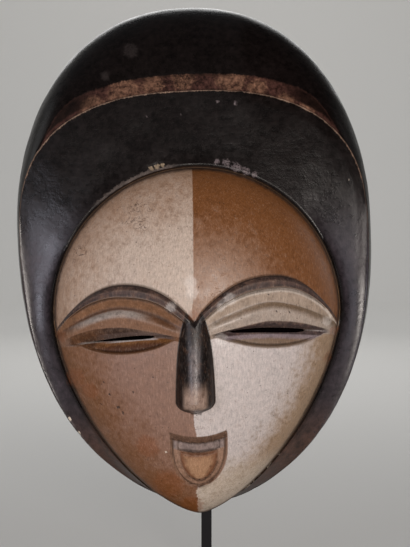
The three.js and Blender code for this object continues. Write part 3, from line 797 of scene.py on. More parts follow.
# each with its depth and the length of its waves in mm
HOOD_FACETS, FACE_FACETS, FLAT_STREAKS = (0.22, 15), (0.08, 22), (0.35, 1.9)
STREAK_STRETCH, FLAT_START = (1, 0.15, 0.15), (0.2, 1.5)
EDGE_NICKS = dict(deep=1.0, size=4.5, reach=1.2, rare=0.15)
BROW_NICKS = dict(deep=0.5, size=5, reach=1.2, at=2.5)
on_hood = (fields["ring"] > 0) & (fields["ring"] < HOLLOW_RING)
cut = np.where(
    on_hood,
    HOOD_FACETS[0] * (1 + wander(points, HOOD_FACETS[1])),
    FACE_FACETS[0] * (1 + wander(points, FACE_FACETS[1], 5)),
)
near_edge = np.exp(-((fields["past_edge"] / EDGE_NICKS["reach"]) ** 2)) * on_hood
nicks = np.clip(wander(points, EDGE_NICKS["size"], 9) - EDGE_NICKS["rare"], 0, 1)
cut = cut + near_edge * EDGE_NICKS["deep"] * nicks
on_flat = ramp(*FLAT_START, fields["on_flat"]) * on_hood
streaked = points * STREAK_STRETCH
cut = cut + on_flat * FLAT_STREAKS[0] * (1 + wander(streaked, FLAT_STREAKS[1], 3))
crest = np.exp(-(((fields["on_brow"] - BROW_NICKS["at"]) / BROW_NICKS["reach"]) ** 2)) * outside
cut = cut + crest * BROW_NICKS["deep"] * np.clip(wander(points, BROW_NICKS["size"], 2), 0, 1)
for kind, places in MARKS.items():
    fields[kind] = np.zeros(len(points))
    in_front = 1 - ramp(*CHIP_FADE, fields["past_edge"]) if kind == "chip" else 1
    for cx, cz, radius, deep in places:
        ragged = 1 + MARK_EDGE["ragged"] * wander(points, MARK_EDGE["size"], cx)
        away = np.hypot(points[:, 0] - cx, points[:, 2] - cz) * ragged
        hit = (1 - ramp(MARK_EDGE["sharp"] * radius, radius, away)) * outside * in_front
        cut = cut + deep * hit
        fields[kind] = np.maximum(fields[kind], hit)
cut = np.where(outside, cut, 0)
points = points - normal * cut[:, None]
print("deepest cut, mm:", cut.max().round(2))

# %% [markdown]
# ## Into Blender
# On the real mask the two eye slits are sawn right through the wood. The skin becomes a mesh, and a
# Boolean modifier takes two long almonds out of it. Cutting the slits into the net of points would
# bend every row round them, and a Boolean leaves the rows as they are. The points that it makes along
# the cut take what the painter has to know from the nearest point of the skin.

# %% Meshes from points


def mesh_object(name, vertices, faces, material):
    mesh = bpy.data.meshes.new(name)
    mesh.from_pydata(vertices.tolist(), [], faces)
    mesh.validate()
    mesh.materials.append(material)
    piece = bpy.data.objects.new(name, mesh)
    bpy.context.scene.collection.objects.link(piece)
    return piece


as_carved, as_sawn = (bpy.data.materials.new(name) for name in ("as carved", "as sawn"))
uncut = mesh_object("uncut", hang(points[:, 0], -points[:, 1], points[:, 2]), faces, as_carved)
print("before sawing:", len(uncut.data.polygons), "faces")

# %% The saw for each eye slit
SLIT_SLANT = 0.85  # the slits rise as they go back, so the wearer looks down through them
# a slit is thin at its left end and blunt at its right end
SLIT_TAPER = dict(left=(0.9, 0.35), right=(0.4, 0.32))
SLIT_STEPS, SLIT_FRONT, SLIT_BACK = 40, 130.0, 60.0


def slit_cutter(sign, eye):
    """A long almond along the eye's slit line, from in front of the face to inside the hollow."""
    start, end, thick = eye["opening"]
    side, along = np.linspace(start, end, SLIT_STEPS), np.linspace(0, 1, SLIT_STEPS)
    along = along if sign > 0 else 1 - along
    thin, blunt = SLIT_TAPER["right" if sign > 0 else "left"]
    half = along**thin * (1 - along) ** blunt
    half = thick / 2 * half / half.max()
    middle = arch(eye["slit"], side)
    surface = face_depth(sign * side, middle)
    surface = np.concatenate([surface, surface[-2:0:-1]])
    loop_x = sign * np.concatenate([side, side[-2:0:-1]])
    loop_z = np.concatenate([middle + half, (middle - half)[-2:0:-1]])
    loop_x = loop_x + MIDLINE_DRIFT * np.minimum(0, loop_z)
    front, back = (
        hang(loop_x, np.full_like(loop_x, deep), loop_z + (surface - deep) * SLIT_SLANT)
        for deep in (SLIT_FRONT, SLIT_BACK)
    )
    count = len(loop_x)
    ring = list(range(count))
    sides = [[i, (i + 1) % count, count + (i + 1) % count, count + i] for i in ring]
    sheets = [*sides, ring[::-1], [count + i for i in ring]]
    if sign < 0:
        sheets = [sheet[::-1] for sheet in sheets]
    return mesh_object("slit_cutter", np.concatenate([front, back]), sheets, as_sawn)


cutters = [slit_cutter(-1, LEFT_EYE), slit_cutter(1, RIGHT_EYE)]
print("points round each slit:", [len(cutter.data.vertices) // 2 for cutter in cutters])

# %% Sawing the slits
for cutter in cutters:
    saw = uncut.modifiers.new("slit", "BOOLEAN")
    saw.operation, saw.object, saw.solver, saw.material_mode = "DIFFERENCE", cutter, "EXACT", "TRANSFER"
sawn = uncut.evaluated_get(bpy.context.evaluated_depsgraph_get())
mask_mesh = bpy.data.meshes.new_from_object(sawn)
mask_mesh.name = "mask_carved"
mask = bpy.data.objects.new("mask_carved", mask_mesh)
bpy.context.scene.collection.objects.link(mask)
sawn_here = np.array([face.material_index > 0 for face in mask_mesh.polygons])
mask_mesh.polygons.foreach_set("material_index", np.zeros(len(sawn_here), int))
print("faces sawn:", sawn_here.sum())

# %% What the painter has to know, stored with the mesh
CRISP = math.radians(52)  # edges that turn more than this stay crisp
near_points = kdtree.KDTree(len(uncut.data.vertices))
for v in uncut.data.vertices:
    near_points.insert(v.co, v.index)
near_points.balance()
nearest = np.array([near_points.find(v.co)[1] for v in mask_mesh.vertices])
stored = [(name, "POINT", values[nearest]) for name, values in fields.items()]
for name, domain, values in (*stored, ("in_slit", "FACE", sawn_here)):
    layer = mask_mesh.attributes.new(name, "FLOAT", domain)
    layer.data.foreach_set("value", values.astype(np.float32))
for spare in (uncut, *cutters):
    bpy.data.objects.remove(spare)
mask_mesh.shade_smooth()
mask_mesh.set_sharp_from_angle(angle=CRISP)
print("mask:", len(mask_mesh.vertices), "points,", len(mask_mesh.polygons), "faces")

# %% The carved mask takes the place of its solid
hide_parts("mask")
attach(mask, "root")
print("carved mask rides on root")

# %% [markdown]
# ## Painting by places
# A painter masks off one area after another and lays a coat on each. A material is a tree of nodes
# that can do the same. One helper adds a node, another works out where a coat lies: it takes places on
# the mask, such as the distance from the seam, lets a noise waver their edges a little as a brush
# does, and multiplies them together. An image wrapped round the mask would stretch over the relief.
# Places are exact on every carved line.

# %% Helpers for materials


def linear(hex_colour):
    """An sRGB hex colour as the linear numbers that light adds up in."""
    parts = [int(hex_colour[i : i + 2], 16) / 255 for i in (1, 3, 5)]
    return (*(c / 12.92 if c <= 0.04045 else ((c + 0.055) / 1.055) ** 2.4 for c in parts), 1)


def start_material(name):
    """A new material and its tree of nodes, which is still empty."""
    material = bpy.data.materials.new(name)
    material.use_nodes = True
    material.node_tree.nodes.clear()
    return material, material.node_tree


def node(tree, kind, inputs=(), output=0, **settings):
    """Adds a node, sets it, gives each input a value or a link, and returns one of its outputs."""
    made = tree.nodes.new("ShaderNode" + kind)
    for name, value in settings.items():
        setattr(made, name, value)
    for key, value in dict(inputs).items():
        if isinstance(value, bpy.types.NodeSocket):
            tree.links.new(value, made.inputs[key])
        else:
            made.inputs[key].default_value = value
    return made.outputs[output] if made.outputs else None


print("middle grey as linear:", round(linear("#808080")[0], 3))

# %% Where a coat lies
# the inputs of the node that maps one range to another, in its own order
RANGE = ("Value", "From Min", "From Max", "To Min", "To Max")


def where(tree, places, waver=None, mm=0.0):
    """The product of soft steps, one for each (field, start, end), wavering by a noise of so many mm."""
    product = None
    for field, start, end in places:
        value = node(tree, "Attribute", output="Fac", attribute_name=field)
        if waver is not None:
            shift = node(tree, "Math", {0: waver, 1: mm, 2: -0.5 * mm}, operation="MULTIPLY_ADD")
            # a mark is 0 away from its place, and there the noise has nothing to waver
            reach = value if field in MARKS else 1.0
            value = node(tree, "Math", {0: shift, 1: reach, 2: value}, operation="MULTIPLY_ADD")
        low, high, at_low, at_high = (start, end, 0, 1) if start < end else (end, start, 1, 0)
        inputs = dict(zip(RANGE, (value, low, high, at_low, at_high)))
        step = node(tree, "MapRange", inputs, interpolation_type="SMOOTHSTEP")
        product = step if product is None else node(tree, "Math", {0: product, 1: step}, operation="MULTIPLY")
    return product


print("places stored on the mask:", len(stored) + 1)

# %% [markdown]
# ## Carved light wood under stain, paint and wax
# A light African hardwood, carved with an adze and knife. The hood is stained near black and rubbed
# with wax, so it has a soft grey sheen. The face is painted in quarters with kaolin white and red
# earth, bound thinly, so that the wood's grain and the handling show through. The coats are laid in
# the real order, from the bare wood up, because a thin or rubbed coat then shows what is under it.

# %% Places that several coats share
# Each is a measure in mm, and where it starts and is full. Only the ring counts the parts of the hood's
# profile: 0 is the groove round the face, 2 the edge, 3 to 4 the worn flat, and 6 the back rim.
UPPER, LOWER = ("under_brow", 0.6, -0.2), ("under_brow", -0.2, 0.6)
LEFT, RIGHT = ("right_of_line", 0.35, -0.35), ("right_of_line", -0.35, 0.35)
ON_FACE = ("from_seam", -0.1, 0.5)
INNER_CORNER, OUTER_CORNER = ("from_middle", 10, 16), ("from_middle", 82, 76)
IN_ALMOND = [ON_FACE, ("above_almond", 0.3, -0.5), ("above_rim", 0.2, 1.0), INNER_CORNER, OUTER_CORNER]
OVER_SLIT, UNDER_SLIT = ("above_slit", -1.6, -0.8), ("above_slit", -0.8, -1.6)
ON_LID = [ON_FACE, LOWER, ("above_crease", 0.5, -0.5), ("above_rim", -0.5, 0.5)]
ON_FLAT, ON_HOOD = ("on_flat", 0, 1.6), ("from_seam", 0.2, -0.4)
IN_MOUTH = ("in_mouth", -0.2, 0.6)
print("soft steps round an eye's almond:", len(IN_ALMOND))

# %% The coats, from the bare wood up
BARE_WOOD = ("#6b4a2f", "#a98558", 0.65)
# each coat: where it lies, its dark and light colour, what decides between them (patches if nothing
# does), how far its edge wavers in mm, and its roughness
COATS = {
    "black stain": ([ON_HOOD, ("ring", 6.9, 6.6)], "#090605", "#1a1413", [], 0.6, 0.27),
    "stain polished by the hands": (
        [("from_seam", -1.5, -5), ("ring", 2.3, 2.0), ("height", 78, 30)], "#171114", "#382f34", [], 3, 0.3
    ),
    "stain worn thin at the chin": (
        [("from_seam", -0.5, -1.5), ("ring", 2.6, 2.2), ("height", -52, -92)],
        "#20140f", "#5c4034", [], 8, 0.45,
    ),
    "worn flat": ([ON_FLAT], "#100807", "#63423a", [], 3.2, 0.6),
    "amber wood": ([ON_FLAT, ("amber", 0.0, 1.2)], "#33221b", "#98705a", [], 5, 0.55),
    "worn flat, dark at its ends": (
        [ON_FLAT, ("from_middle", 50, 74), ("past_edge", 2.5, 5)], "#0d0807", "#251814", [], 6, 0.6
    ),
    "rubbed edge": (
        [("past_edge", -0.8, -0.2), ("past_edge", 1.3, 0.5), ("height", 72, 92)],
        "#34231c", "#8f7664", [], 3.6, 0.55,
    ),
    "rubbed lip": (
        [("ring", 0.6, 0.8), ("ring", 1.04, 1.02), ("height", 66, 76), ("right_of_line", -6, -16)],
        "#2a211d", "#695e58", [], 0.2, 0.5,
    ),
    # The red and white coats of the face run from their dark colour at the seam to their light one in the
    # middle: the paint's own wear, with painted shade where the face turns away from the light and painted
    # sheen in its middle.
    "red cheek": ([ON_FACE, LOWER], "#714725", "#826252", [("from_seam", -20, 62)], 1.4, 0.45),
    "white cheek": ([ON_FACE, RIGHT, LOWER], "#967c63", "#bcb1ac", [("from_seam", -2, 34)], 2.2, 0.42),
    # lighter white paint on the chin, which also paints in the highlight that the chin catches
    "white chin, lighter, with a painted highlight": ([ON_FACE, RIGHT, ("height", -80, -104)], "#ab9884", "#c2b5a8", [], 12, 0.42),
    "red forehead": ([ON_FACE, UPPER], "#72441d", "#8a664d", [("from_seam", 8, 80)], 1.4, 0.4),
    "white forehead": ([ON_FACE, LEFT, UPPER], "#9c7d66", "#b8a596", [("from_seam", -20, 60)], 1.8, 0.48),
    "left hollow": (
        [ON_FACE, LEFT, LOWER, ("above_crease", -0.5, 0.5)], "#5d3c22", "#875f42", [], 0.6, 0.45
    ),
    "left lid": ([LEFT, *ON_LID], "#573720", "#7a5740", [("above_crease", 0, -7)], 0.6, 0.42),
    # the left lid's pale band: rubbed paint together with a painted highlight on its bulge
    "left lid, rubbed, with a painted highlight": (
        [LEFT, *ON_LID, ("above_crease", -0.6, -2.2), ("above_crease", -6.8, -3.6),
         ("from_middle", 24, 40), ("from_middle", 80, 62)],
        "#776a61", "#ada29a", [], 1.6, 0.38,
    ),
    "right hollow": (
        [ON_FACE, RIGHT, LOWER, ("above_crease", -0.5, 0.5)], "#86705c", "#ac9a8a", [], 0.6, 0.45
    ),
    # the cream-white line under the right brow: rubbed paint together with a painted highlight
    "under the right brow, rubbed, with a painted highlight": (
        [ON_FACE, RIGHT, ("under_brow", 0.2, 0.9), ("under_brow", 4.0, 2.2), ("from_middle", 6, 16)],
        "#a39180", "#d8ccc1", [], 2, 0.4,
    ),
    "right lid": ([RIGHT, *ON_LID], "#705b47", "#a29285", [("above_crease", 0, -7)], 0.6, 0.42),
    "over the left slit": (
        [LEFT, OVER_SLIT, *IN_ALMOND], "#35231b", "#6c5a54", [("above_slit", 6, 0)], 0.6, 0.45
    ),
    "under the left slit": (
        [LEFT, UNDER_SLIT, *IN_ALMOND], "#4a2a15", "#6e4827", [("above_slit", -6, -1)], 0.6, 0.45
    ),
    "outer corner of the left eye": (
        [LEFT, *IN_ALMOND, ("from_middle", 52, 66)], "#3f2616", "#6b472d", [], 3, 0.45
    ),
    "bare line under the left slit": (
        [LEFT, *IN_ALMOND, ("above_slit", -0.7, -1.0), ("above_slit", -2.3, -1.8),
         ("from_middle", 22, 27), ("from_middle", 58, 48)],
        "#7d7270", "#b3aba8", [], 0.4, 0.4,
    ),
    "bare line past the left slit": (
        [LEFT, *IN_ALMOND, ("above_slit", 0.3, -0.1), ("above_slit", -1.0, -0.6),
         ("from_middle", 50, 56), ("from_middle", 75, 67)],
        "#7d7068", "#b0a69e", [], 0.5, 0.4,
    ),
    "over the right slit": ([RIGHT, OVER_SLIT, *IN_ALMOND], "#211615", "#4a3835", [], 0.6, 0.45),
    "under the right slit": (
        [RIGHT, UNDER_SLIT, *IN_ALMOND], "#735c48", "#807173", [("above_slit", -7, -3.4)], 0.6, 0.45
    ),
    "corner of the right slit": (
        [RIGHT, ("above_slit", -3.2, -2.2), *IN_ALMOND, ("above_slit", 1.0, 0.0)],
        "#2a1c1b", "#55423f", [], 0.6, 0.45,
    ),
    "groove past the right slit": (
        [RIGHT, *IN_ALMOND, ("above_slit", 0.7, 0.2), ("above_slit", -0.5, 0.0), ("from_middle", 64, 68)],
        "#6f6461", "#a59b98", [], 0.4, 0.45,
    ),
    "brow": ([ON_FACE, ("on_brow", -0.3, 0.3)], "#1d100c", "#38221b", [], 0.7, 0.55),
    "rubbed brow": ([ON_FACE, ("on_brow", 0.0, 2.6)], "#2a1a14", "#563d34", [], 7, 0.55),
    "nose": ([("on_nose", -1.0, -0.3)], "#0d0807", "#211613", [], 0.5, 0.36),
    # the nose's ridge: rubbed black paint together with a painted highlight along it
    "ridge of the nose, rubbed, with a painted highlight": (
        [("on_nose", 0.5, 3.0), ("from_middle", 4.6, 0.8), ("height", -10, -24)],
        "#2f2524", "#908786", [], 4, 0.24,
    ),
    "bare nose tip": (
        [("on_nose", 0.8, 2.4), ("from_middle", 8.6, 5.4), ("height", -36, -47), ("height", -54.8, -53.0)],
        "#6b4f3f", "#b59d8d", [], 3, 0.42,
    ),
    "lip": ([IN_MOUTH, ("under_lip", 5.6, 4.6)], "#4a3020", "#6f5240", [], 0.5, 0.45),
    "mouth": ([IN_MOUTH, ("under_lip", 4.6, 5.6)], "#694936", "#a0806b", [], 0.5, 0.45),
    "teeth": (
        [("in_mouth", 1.6, 2.6), ("under_lip", 4.4, 5.4), ("on_teeth", -0.4, 0.6)],
        "#604d47", "#95857f", [], 0.5, 0.4,
    ),
    "tongue": ([("on_tongue", -0.2, 1.0)], "#7a4f35", "#a07a5c", [("on_tongue", 0, 6)], 0.6, 0.36),
    "shaded rim of the face": ([ON_FACE, ("from_seam", 3.0, 0.3)], "#24160e", "#4a3120", [], 2, 0.5),
}
print("coats of stain and paint:", len(COATS))

# %% Patterns of the wood, the brush and the hands
# The grain of a light hardwood is about 0.2 mm wide and the hairs of a brush 0.1 mm, too fine to show
# from a metre away, so both are drawn 0.7 to 1.6 mm wide.
painted_wood, tree = start_material("carved wood, stained, painted and waxed")
place = node(tree, "TexCoord", output="Object")
in_mm = node(tree, "VectorMath", {0: place, 1: (1 / MM,) * 3}, operation="MULTIPLY")
EVEN, UPRIGHT, LEVEL = (1, 1, 1), (1, 1, 0.16), (0.1, 0.3, 1)
# how each is stretched, its width in mm, its detail, roughness and distortion
PATTERNS = dict(
    patches=(EVEN, 22, 5, 0.6, 0),
    blotches=(EVEN, 4, 4, 0.65, 0),
    grit=(EVEN, 0.9, 3, 0.7, 0),
    scribble=(EVEN, 7, 2, 0.5, 1.5),
    grain=(UPRIGHT, 1.6, 4, 0.6, 0),
    hair=(UPRIGHT, 0.7, 3, 0.6, 0),
    strokes=(LEVEL, 1.5, 4, 0.6, 0),
)
NOISE = ("Vector", "Scale", "Detail", "Roughness", "Distortion")
pattern = {}
for name, (stretch, width, *settings) in PATTERNS.items():
    stretched = node(tree, "VectorMath", {0: in_mm, 1: stretch}, operation="MULTIPLY")
    pattern[name] = node(tree, "TexNoise", dict(zip(NOISE, (stretched, 1 / width, *settings))))
patches, blotches, grit, scribble, grain, hair, strokes = pattern.values()
clouds = node(tree, "Mix", {0: 0.4, 2: patches, 3: blotches})
ragged = node(tree, "Mix", {0: 0.6, 2: grit, 3: blotches})
print("patterns:", ", ".join(PATTERNS))

# %% Laying the coats
TONE_WAVER = 0.8  # share of a tone's own width
STREAKY = ("worn flat", "amber wood", "ridge of the nose, rubbed, with a painted highlight")
# the share of blotches in the texture, and of the texture in the coat, where it is streaky or even
BLOTCHY, TEXTURED = (0.2, 0.65), (0.8, 0.45)
CONTRAST = (0.32, 0.68)
dark, light, rough = BARE_WOOD
colour = node(tree, "Mix", {0: grain, 6: linear(dark), 7: linear(light)}, 2, data_type="RGBA")
for name, (places, dark, light, tone, waver, coat_rough) in COATS.items():
    lies = where(tree, places, ragged, waver)
    tone = where(tree, tone, clouds, TONE_WAVER * abs(tone[0][2] - tone[0][1])) if tone else clouds
    even = name not in STREAKY
    texture = node(tree, "Mix", {0: BLOTCHY[even], 2: strokes if "stain" in name else grain, 3: blotches})
    share = node(tree, "Mix", {0: TEXTURED[even], 2: tone, 3: texture})
    share = node(tree, "MapRange", dict(zip(RANGE, (share, *CONTRAST))))
    shade = node(tree, "Mix", {0: share, 6: linear(dark), 7: linear(light)}, 2, data_type="RGBA")
    colour = node(tree, "Mix", {0: lies, 6: colour, 7: shade}, 2, data_type="RGBA")
    rough = node(tree, "Mix", {0: lies, 2: rough, 3: coat_rough})
print("nodes so far:", len(tree.nodes))

# %% [markdown]
# ## Dirt, painted shade and highlights, cracks and rubbed places
# Over the coats lies what happened to them, and some painted light. The hollows are darkened, as dirt
# and as painted shade in the creases, handling bares the edges, the paint cracks in fine lines, and
# knocks show light wood. A few pale marks are painted highlights, and the walls of the eye slits are
# painted near black as painted shade. Each of these signs is read from one of the patterns by a narrow
# range of its values, so no picture of a crack or a speck is needed.

# %% Signs of age
SPECK_GAP = 4.2  # mm
on_wood = where(tree, [("from_seam", 0.0, 1.0)])
on_stain = where(tree, [("from_seam", 0.0, -1.0)])
specks = node(tree, "TexVoronoi", {"Vector": in_mm, "Scale": 1 / SPECK_GAP}, "Distance")
chosen = node(tree, "SeparateColor", {0: specks.node.outputs["Color"]})
off_line = node(tree, "Math", {0: scribble, 1: 0.5}, operation="SUBTRACT")
off_line = node(tree, "Math", {0: off_line}, operation="ABSOLUTE")
# what a sign is read from, the range it is read in, and what it is at both ends of that
SIGNS = dict(
    fine_line=(off_line, 0.007, 0.017, 1, 0),
    crack_place=(blotches, 0.52, 0.62, 0, 0.5),
    speck=(specks, 0.05, 0.12, 1, 0),
    pale_hair=(hair, 0.54, 0.72, 0, 1),
    fleck=(grit, 0.58, 0.68, 0, 1),
    stain=(blotches, 0.52, 0.68, 0, 1),
    stripe=(hair, 0.46, 0.56, 0, 1),
    patchy=(clouds, 0.35, 0.65, 0.82, 1.25),
)
sign = {name: node(tree, "MapRange", dict(zip(RANGE, reading))) for name, reading in SIGNS.items()}
crack_places = {0: sign["crack_place"], 1: node(tree, "Attribute", output="Fac", attribute_name="cracked")}
crack_place = node(tree, "Math", crack_places, operation="MAXIMUM")
dark_ones = node(tree, "Math", {0: chosen, 1: 0.45}, operation="GREATER_THAN")
pale_ones = node(tree, "Math", {0: chosen, 1: 0.12}, operation="LESS_THAN")
on_scored = where(tree, [("on_flat", 0.0, 1.0), ("scored", 0.0, 0.8)])
# each is the product of its shares
products = dict(
    cracks=(sign["fine_line"], crack_place, on_wood),
    dark_specks=(sign["speck"], dark_ones, on_wood),
    pale_specks=(sign["speck"], pale_ones, on_wood),
    pale_hairs=(sign["pale_hair"], on_wood),
    flecks=(sign["fleck"], on_wood),
    stains=(sign["stain"], on_wood),
    scored=(on_scored, sign["stripe"]),
    brushed=(strokes, on_stain),
    grained=(grain, on_wood),
)
for name, (lies, *others) in products.items():
    for other in others:
        lies = node(tree, "Math", {0: lies, 1: other}, operation="MULTIPLY")
    sign[name] = lies
print("signs of age:", ", ".join(sign))

# %% Laying them over the coats
DIRT_AND_SHADE_ROUGH, WORN_ROUGH = 0.8, 0.6
dirt_and_shade = where(tree, [("hollow_dirt_and_shade", 0.2, 0.75)], blotches, 0.2)
worn = where(tree, [("worn", 0.4, 1.0)], blotches, 1.0)
rough = node(tree, "Mix", {0: dirt_and_shade, 2: rough, 3: DIRT_AND_SHADE_ROUGH})
rough = node(tree, "Mix", {0: worn, 2: rough, 3: WORN_ROUGH})
rough = node(tree, "Math", {0: rough, 1: sign["patchy"]}, operation="MULTIPLY")
# where each lies, its colour and its strength
AGE_AND_PAINTED_LIGHT = (
    # dirt in the hollows, which also paints the shade of the creases
    (dirt_and_shade, "#2b1b10", 0.62),
    (worn, "#80695a", 0.35),
    (where(tree, [("tint", 0.0, 1.2)], clouds, 2.0), "#7b431a", 0.5),
    # the pale marks, painted highlights
    (where(tree, [("pale", 0.0, 1.2)], clouds, 2.0), "#e6ddd6", 0.35),
    (sign["scored"], "#150d0a", 0.75),
    (sign["cracks"], "#3c2719", 0.65),
    (sign["stains"], "#5a3d28", 0.25),
    (sign["flecks"], "#3a2618", 0.35),
    (sign["pale_hairs"], "#cdbfb2", 0.08),
    (sign["dark_specks"], "#2c1a10", 0.65),
    (sign["pale_specks"], "#b8a898", 0.25),
    (where(tree, [("pit", 0.35, 0.75)], grit, 0.7), "#24150d", 0.85),
    (where(tree, [("scuff", 0.2, 1.3)], grit, 5.0), "#857879", 0.55),
    (where(tree, [("smudge", 0.0, 1.2)], grit, 2.0), "#4a4240", 0.3),
    (where(tree, [("bare", 0.25, 0.8)], grit, 1.6), "#8f7d68", 0.9),
    (where(tree, [("chip", 0.35, 0.75)], grit, 0.7), "#cdbfae", 0.95),
    # the walls of the eye slits painted near black, a painted shade
    (where(tree, [("in_slit", 0.1, 0.6)]), "#060404", 1.0),
)
for lies, shade, strength in AGE_AND_PAINTED_LIGHT:
    lies = node(tree, "Math", {0: lies, 1: strength}, operation="MULTIPLY")
    colour = node(tree, "Mix", {0: lies, 6: colour, 7: linear(shade)}, 2, data_type="RGBA")
UNEVEN = (0.38, 0.62, 0.68, 1.32)  # the range of the pattern, and of the brightness that it gives
uneven = node(tree, "Mix", {0: 0.5, 2: grit, 3: hair})
uneven = node(tree, "Mix", {0: 0.35, 2: uneven, 3: blotches})
uneven = node(tree, "MapRange", dict(zip(RANGE, (uneven, *UNEVEN))), clamp=False)
colour = node(tree, "HueSaturation", {"Color": colour, "Value": uneven})
print("nodes so far:", len(tree.nodes))

# %% [markdown]
# ## Relief and wax
# Grain, brush strokes and cracks are fractions of a millimetre deep, so they only bend the light, as
# a bump. Beeswax rubbed in by the hands has an IOR near 1.45, and with the binder under it 1.48 is
# used. It gives the hood its soft sheen. Where the wax has gone, most of the shine goes with it.

# %% Relief, wax and the finished material
# the height of each pattern in mm
HEIGHTS = (
    (patches, 0.35), (blotches, 0.18), (grit, 0.05), (sign["grained"], 0.05), (sign["brushed"], 0.05),
    (sign["cracks"], -0.15), (sign["dark_specks"], -0.12),
)
# where the wax has gone, and the share of its shine that is left
DRY = (
    ([ON_HOOD, ("height", 28, 85)], 0.45),
    ([("ring", 1.95, 2.1)], 0.45),
    ([("right_of_line", 30, 40), ("past_edge", -9, -5), ("height", 5, 25)], 0.35),
    ([("right_of_line", 20, 60), ON_HOOD, ("height", 50, 95)], 0.45),
    ([ON_FACE, ("height", -70, -105)], 0.4),
    ([LEFT, *IN_ALMOND], 0.4),
    ([("ring", 0, 0.5), ("ring", 1.3, 1.05)], 0.45),
    ([("on_nose", -0.5, 0.5), ("from_middle", 3.5, 6.5)], 0.2),
)
WAX_SHINE, WAX_IOR = 0.5, 1.48
height = 0.0
for lies, tall in HEIGHTS:
    height = node(tree, "Math", {0: lies, 1: tall, 2: height}, operation="MULTIPLY_ADD")
bump = node(tree, "Bump", {"Height": height, "Distance": MM, "Strength": 0.8})
# no shine on the painted black walls of the eye slits, part of their painted shade
waxed = where(tree, [("in_slit", 0.6, 0.1)])
for places, left in DRY:
    dry = where(tree, places, blotches, 0.3)
    dry = node(tree, "MapRange", {"Value": dry, "To Min": 1, "To Max": left})
    waxed = node(tree, "Math", {0: waxed, 1: dry}, operation="MULTIPLY")
shine = node(tree, "Math", {0: waxed, 1: WAX_SHINE}, operation="MULTIPLY")
wood = {"Base Color": colour, "Roughness": rough, "Normal": bump, "IOR": WAX_IOR, "Specular IOR Level": shine}
node(tree, "OutputMaterial", {"Surface": node(tree, "BsdfPrincipled", wood)})
mask_mesh.materials.clear()
mask_mesh.materials.append(painted_wood)
print(painted_wood.name, "with", len(tree.nodes), "nodes")

# %% [markdown]
# ## Black painted steel
# The bar and the foot are mild steel, sprayed matt black. Spray paint dries with a faint orange-peel
# grain of about a millimetre and hardly any shine, and hands leave it a little uneven. Two noises do
# both. The paint hides the metal, so the metallic value stays at nothing.

# %% The stand
PEEL, PEEL_DEEP, HANDLED = 1.2, 0.04, 30  # mm
BLACK, PAINT_ROUGH, PAINT_SHINE = ("#0b0a0c", "#171518"), (0.7, 0.85), 0.3
black_painted_steel, tree = start_material("mild steel, sprayed matt black")
place = node(tree, "TexCoord", output="Object")
peel = node(tree, "TexNoise", {"Vector": place, "Scale": 1 / (PEEL * MM), "Detail": 2})
handled = node(tree, "TexNoise", {"Vector": place, "Scale": 1 / (HANDLED * MM), "Detail": 5})
rough = node(tree, "MapRange", {"Value": handled, "To Min": PAINT_ROUGH[0], "To Max": PAINT_ROUGH[1]})
colour = {0: handled, 6: linear(BLACK[0]), 7: linear(BLACK[1])}
colour = node(tree, "Mix", colour, 2, data_type="RGBA")
bump = node(tree, "Bump", {"Height": peel, "Distance": PEEL_DEEP * MM, "Strength": 0.5})
paint = {"Base Color": colour, "Roughness": rough, "Normal": bump, "Specular IOR Level": PAINT_SHINE}
node(tree, "OutputMaterial", {"Surface": node(tree, "BsdfPrincipled", paint)})
for name in ("stand_rod", "stand_foot"):
    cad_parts[name].material_slots[0].material = black_painted_steel

# %% [markdown]
# ## The studio
# A pale paper floor that curves up into a backdrop, with soft light from large panels near the
# camera. The sweep is drawn as a profile and pulled sideways, so there is no corner line behind the
# object. A plane and a wall would be simpler, and show where they meet. The key panel is in front,
# weaker ones stand at both sides, broad faint ones behind draw the edge of the hood, and the last one
# lights the backdrop.

# %% Floor and backdrop
SWEEP = dict(front=-8.0, back=3.6, radius=1.0, height=3.0, half=8.0, curve_steps=24)
turn = np.linspace(0, math.pi / 2, SWEEP["curve_steps"])
curve_y = SWEEP["back"] - SWEEP["radius"] + SWEEP["radius"] * np.sin(turn)
profile_y = [SWEEP["front"], *curve_y, SWEEP["back"]]
profile_z = [0.0, *(SWEEP["radius"] * (1 - np.cos(turn))), SWEEP["height"]]
sides = (-SWEEP["half"], SWEEP["half"])
sweep_points = np.array([(side, y, h) for side in sides for y, h in zip(profile_y, profile_z)])
count = len(profile_y)
paper, tree = start_material("matt paper")
sheet = {"Base Color": linear("#dcdad6"), "Roughness": 0.95}
node(tree, "OutputMaterial", {"Surface": node(tree, "BsdfPrincipled", sheet)})
strips = [[i, count + i, count + i + 1, i + 1] for i in range(count - 1)]
sweep = mesh_object("backdrop", sweep_points, strips, paper)
sweep.data.shade_smooth()
print("backdrop:", count - 1, "strips")

# %% Lights
CENTRE = Vector((BRIDGE[0], 0, BRIDGE[2])) * MM
BEAM = math.radians(100)  # a grid on each panel keeps its light off the floor


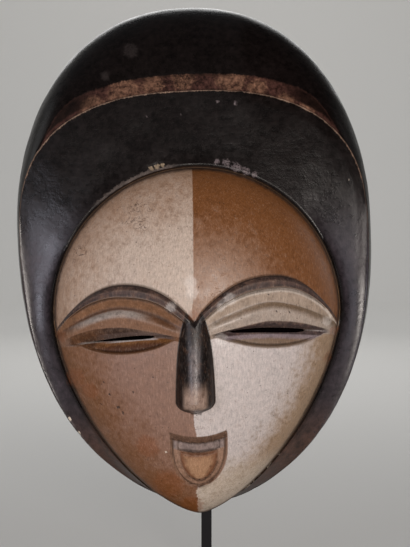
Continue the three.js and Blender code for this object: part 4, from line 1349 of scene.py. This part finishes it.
def soft_panel(name, place, size, watts, colour, aim=CENTRE, spread=BEAM):
    """A round panel that faces its aim, with places and size in metres."""
    lamp = bpy.data.lights.new(name, "AREA")
    lamp.shape, lamp.size, lamp.energy, lamp.color = "DISK", size, watts, linear(colour)[:3]
    lamp.spread = spread
    panel = bpy.data.objects.new(name, lamp)
    panel.location = place
    panel.visible_camera = False
    panel.rotation_euler = (Vector(aim) - Vector(place)).to_track_quat("-Z", "Y").to_euler()
    bpy.context.scene.collection.objects.link(panel)
    print(name, "panel:", watts, "W")


soft_panel("key", (0.14, -1.15, 0.28), 0.3, 2.13, "#fff6ee")
soft_panel("left side", (-0.62, -0.92, 0.23), 0.35, 0.74, "#eeeefd")
soft_panel("right side", (0.64, -0.92, 0.10), 0.35, 0.25, "#eeeefd")
soft_panel("behind", (BRIDGE[0] * MM, 1.9, 1.0), 1.4, 3.2, "#ffffff")
soft_panel("far left", (-1.7, 0.45, 0.8), 1.4, 1.6, "#ffffff")
soft_panel("far right", (1.7, 0.45, 0.8), 1.4, 1.6, "#ffffff")
soft_panel("backdrop light", (0.0, 1.4, 2.4), 2.0, 36, "#ffffff", aim=(0.0, 3.6, 1.1), spread=math.pi)
world = bpy.data.worlds.new("studio")
world.use_nodes = True
sky = world.node_tree.nodes["Background"]
sky.inputs["Color"].default_value = linear("#d9dde2")
sky.inputs["Strength"].default_value = 0.2
bpy.context.scene.world = world

# %% [markdown]
# ## The camera
# The photograph was taken from about a metre away, straight on and a little from above. The lens
# follows from the size of the mask in the picture.

# %% Camera
IMAGE_HEIGHT = 547
FOCAL_PIXELS = 1451.6
SENSOR = 36  # mm
CAMERA_PLACE, TILT_DOWN = (-1, -951, 269), 3
camera_data = bpy.data.cameras.new("camera")
camera_data.sensor_width = SENSOR
camera_data.lens = SENSOR * FOCAL_PIXELS / IMAGE_HEIGHT
camera = bpy.data.objects.new("camera", camera_data)
camera.location = Vector(CAMERA_PLACE) * MM
camera.rotation_euler = (math.radians(90 - TILT_DOWN), 0, 0)
bpy.context.scene.collection.objects.link(camera)
bpy.context.scene.camera = camera
bpy.context.scene.view_settings.view_transform = "Standard"
print("lens in mm:", round(camera_data.lens, 1))

# %% [markdown]
# ## The end
# The view layer is brought up to date once more.

# %% End
bpy.context.view_layer.update()
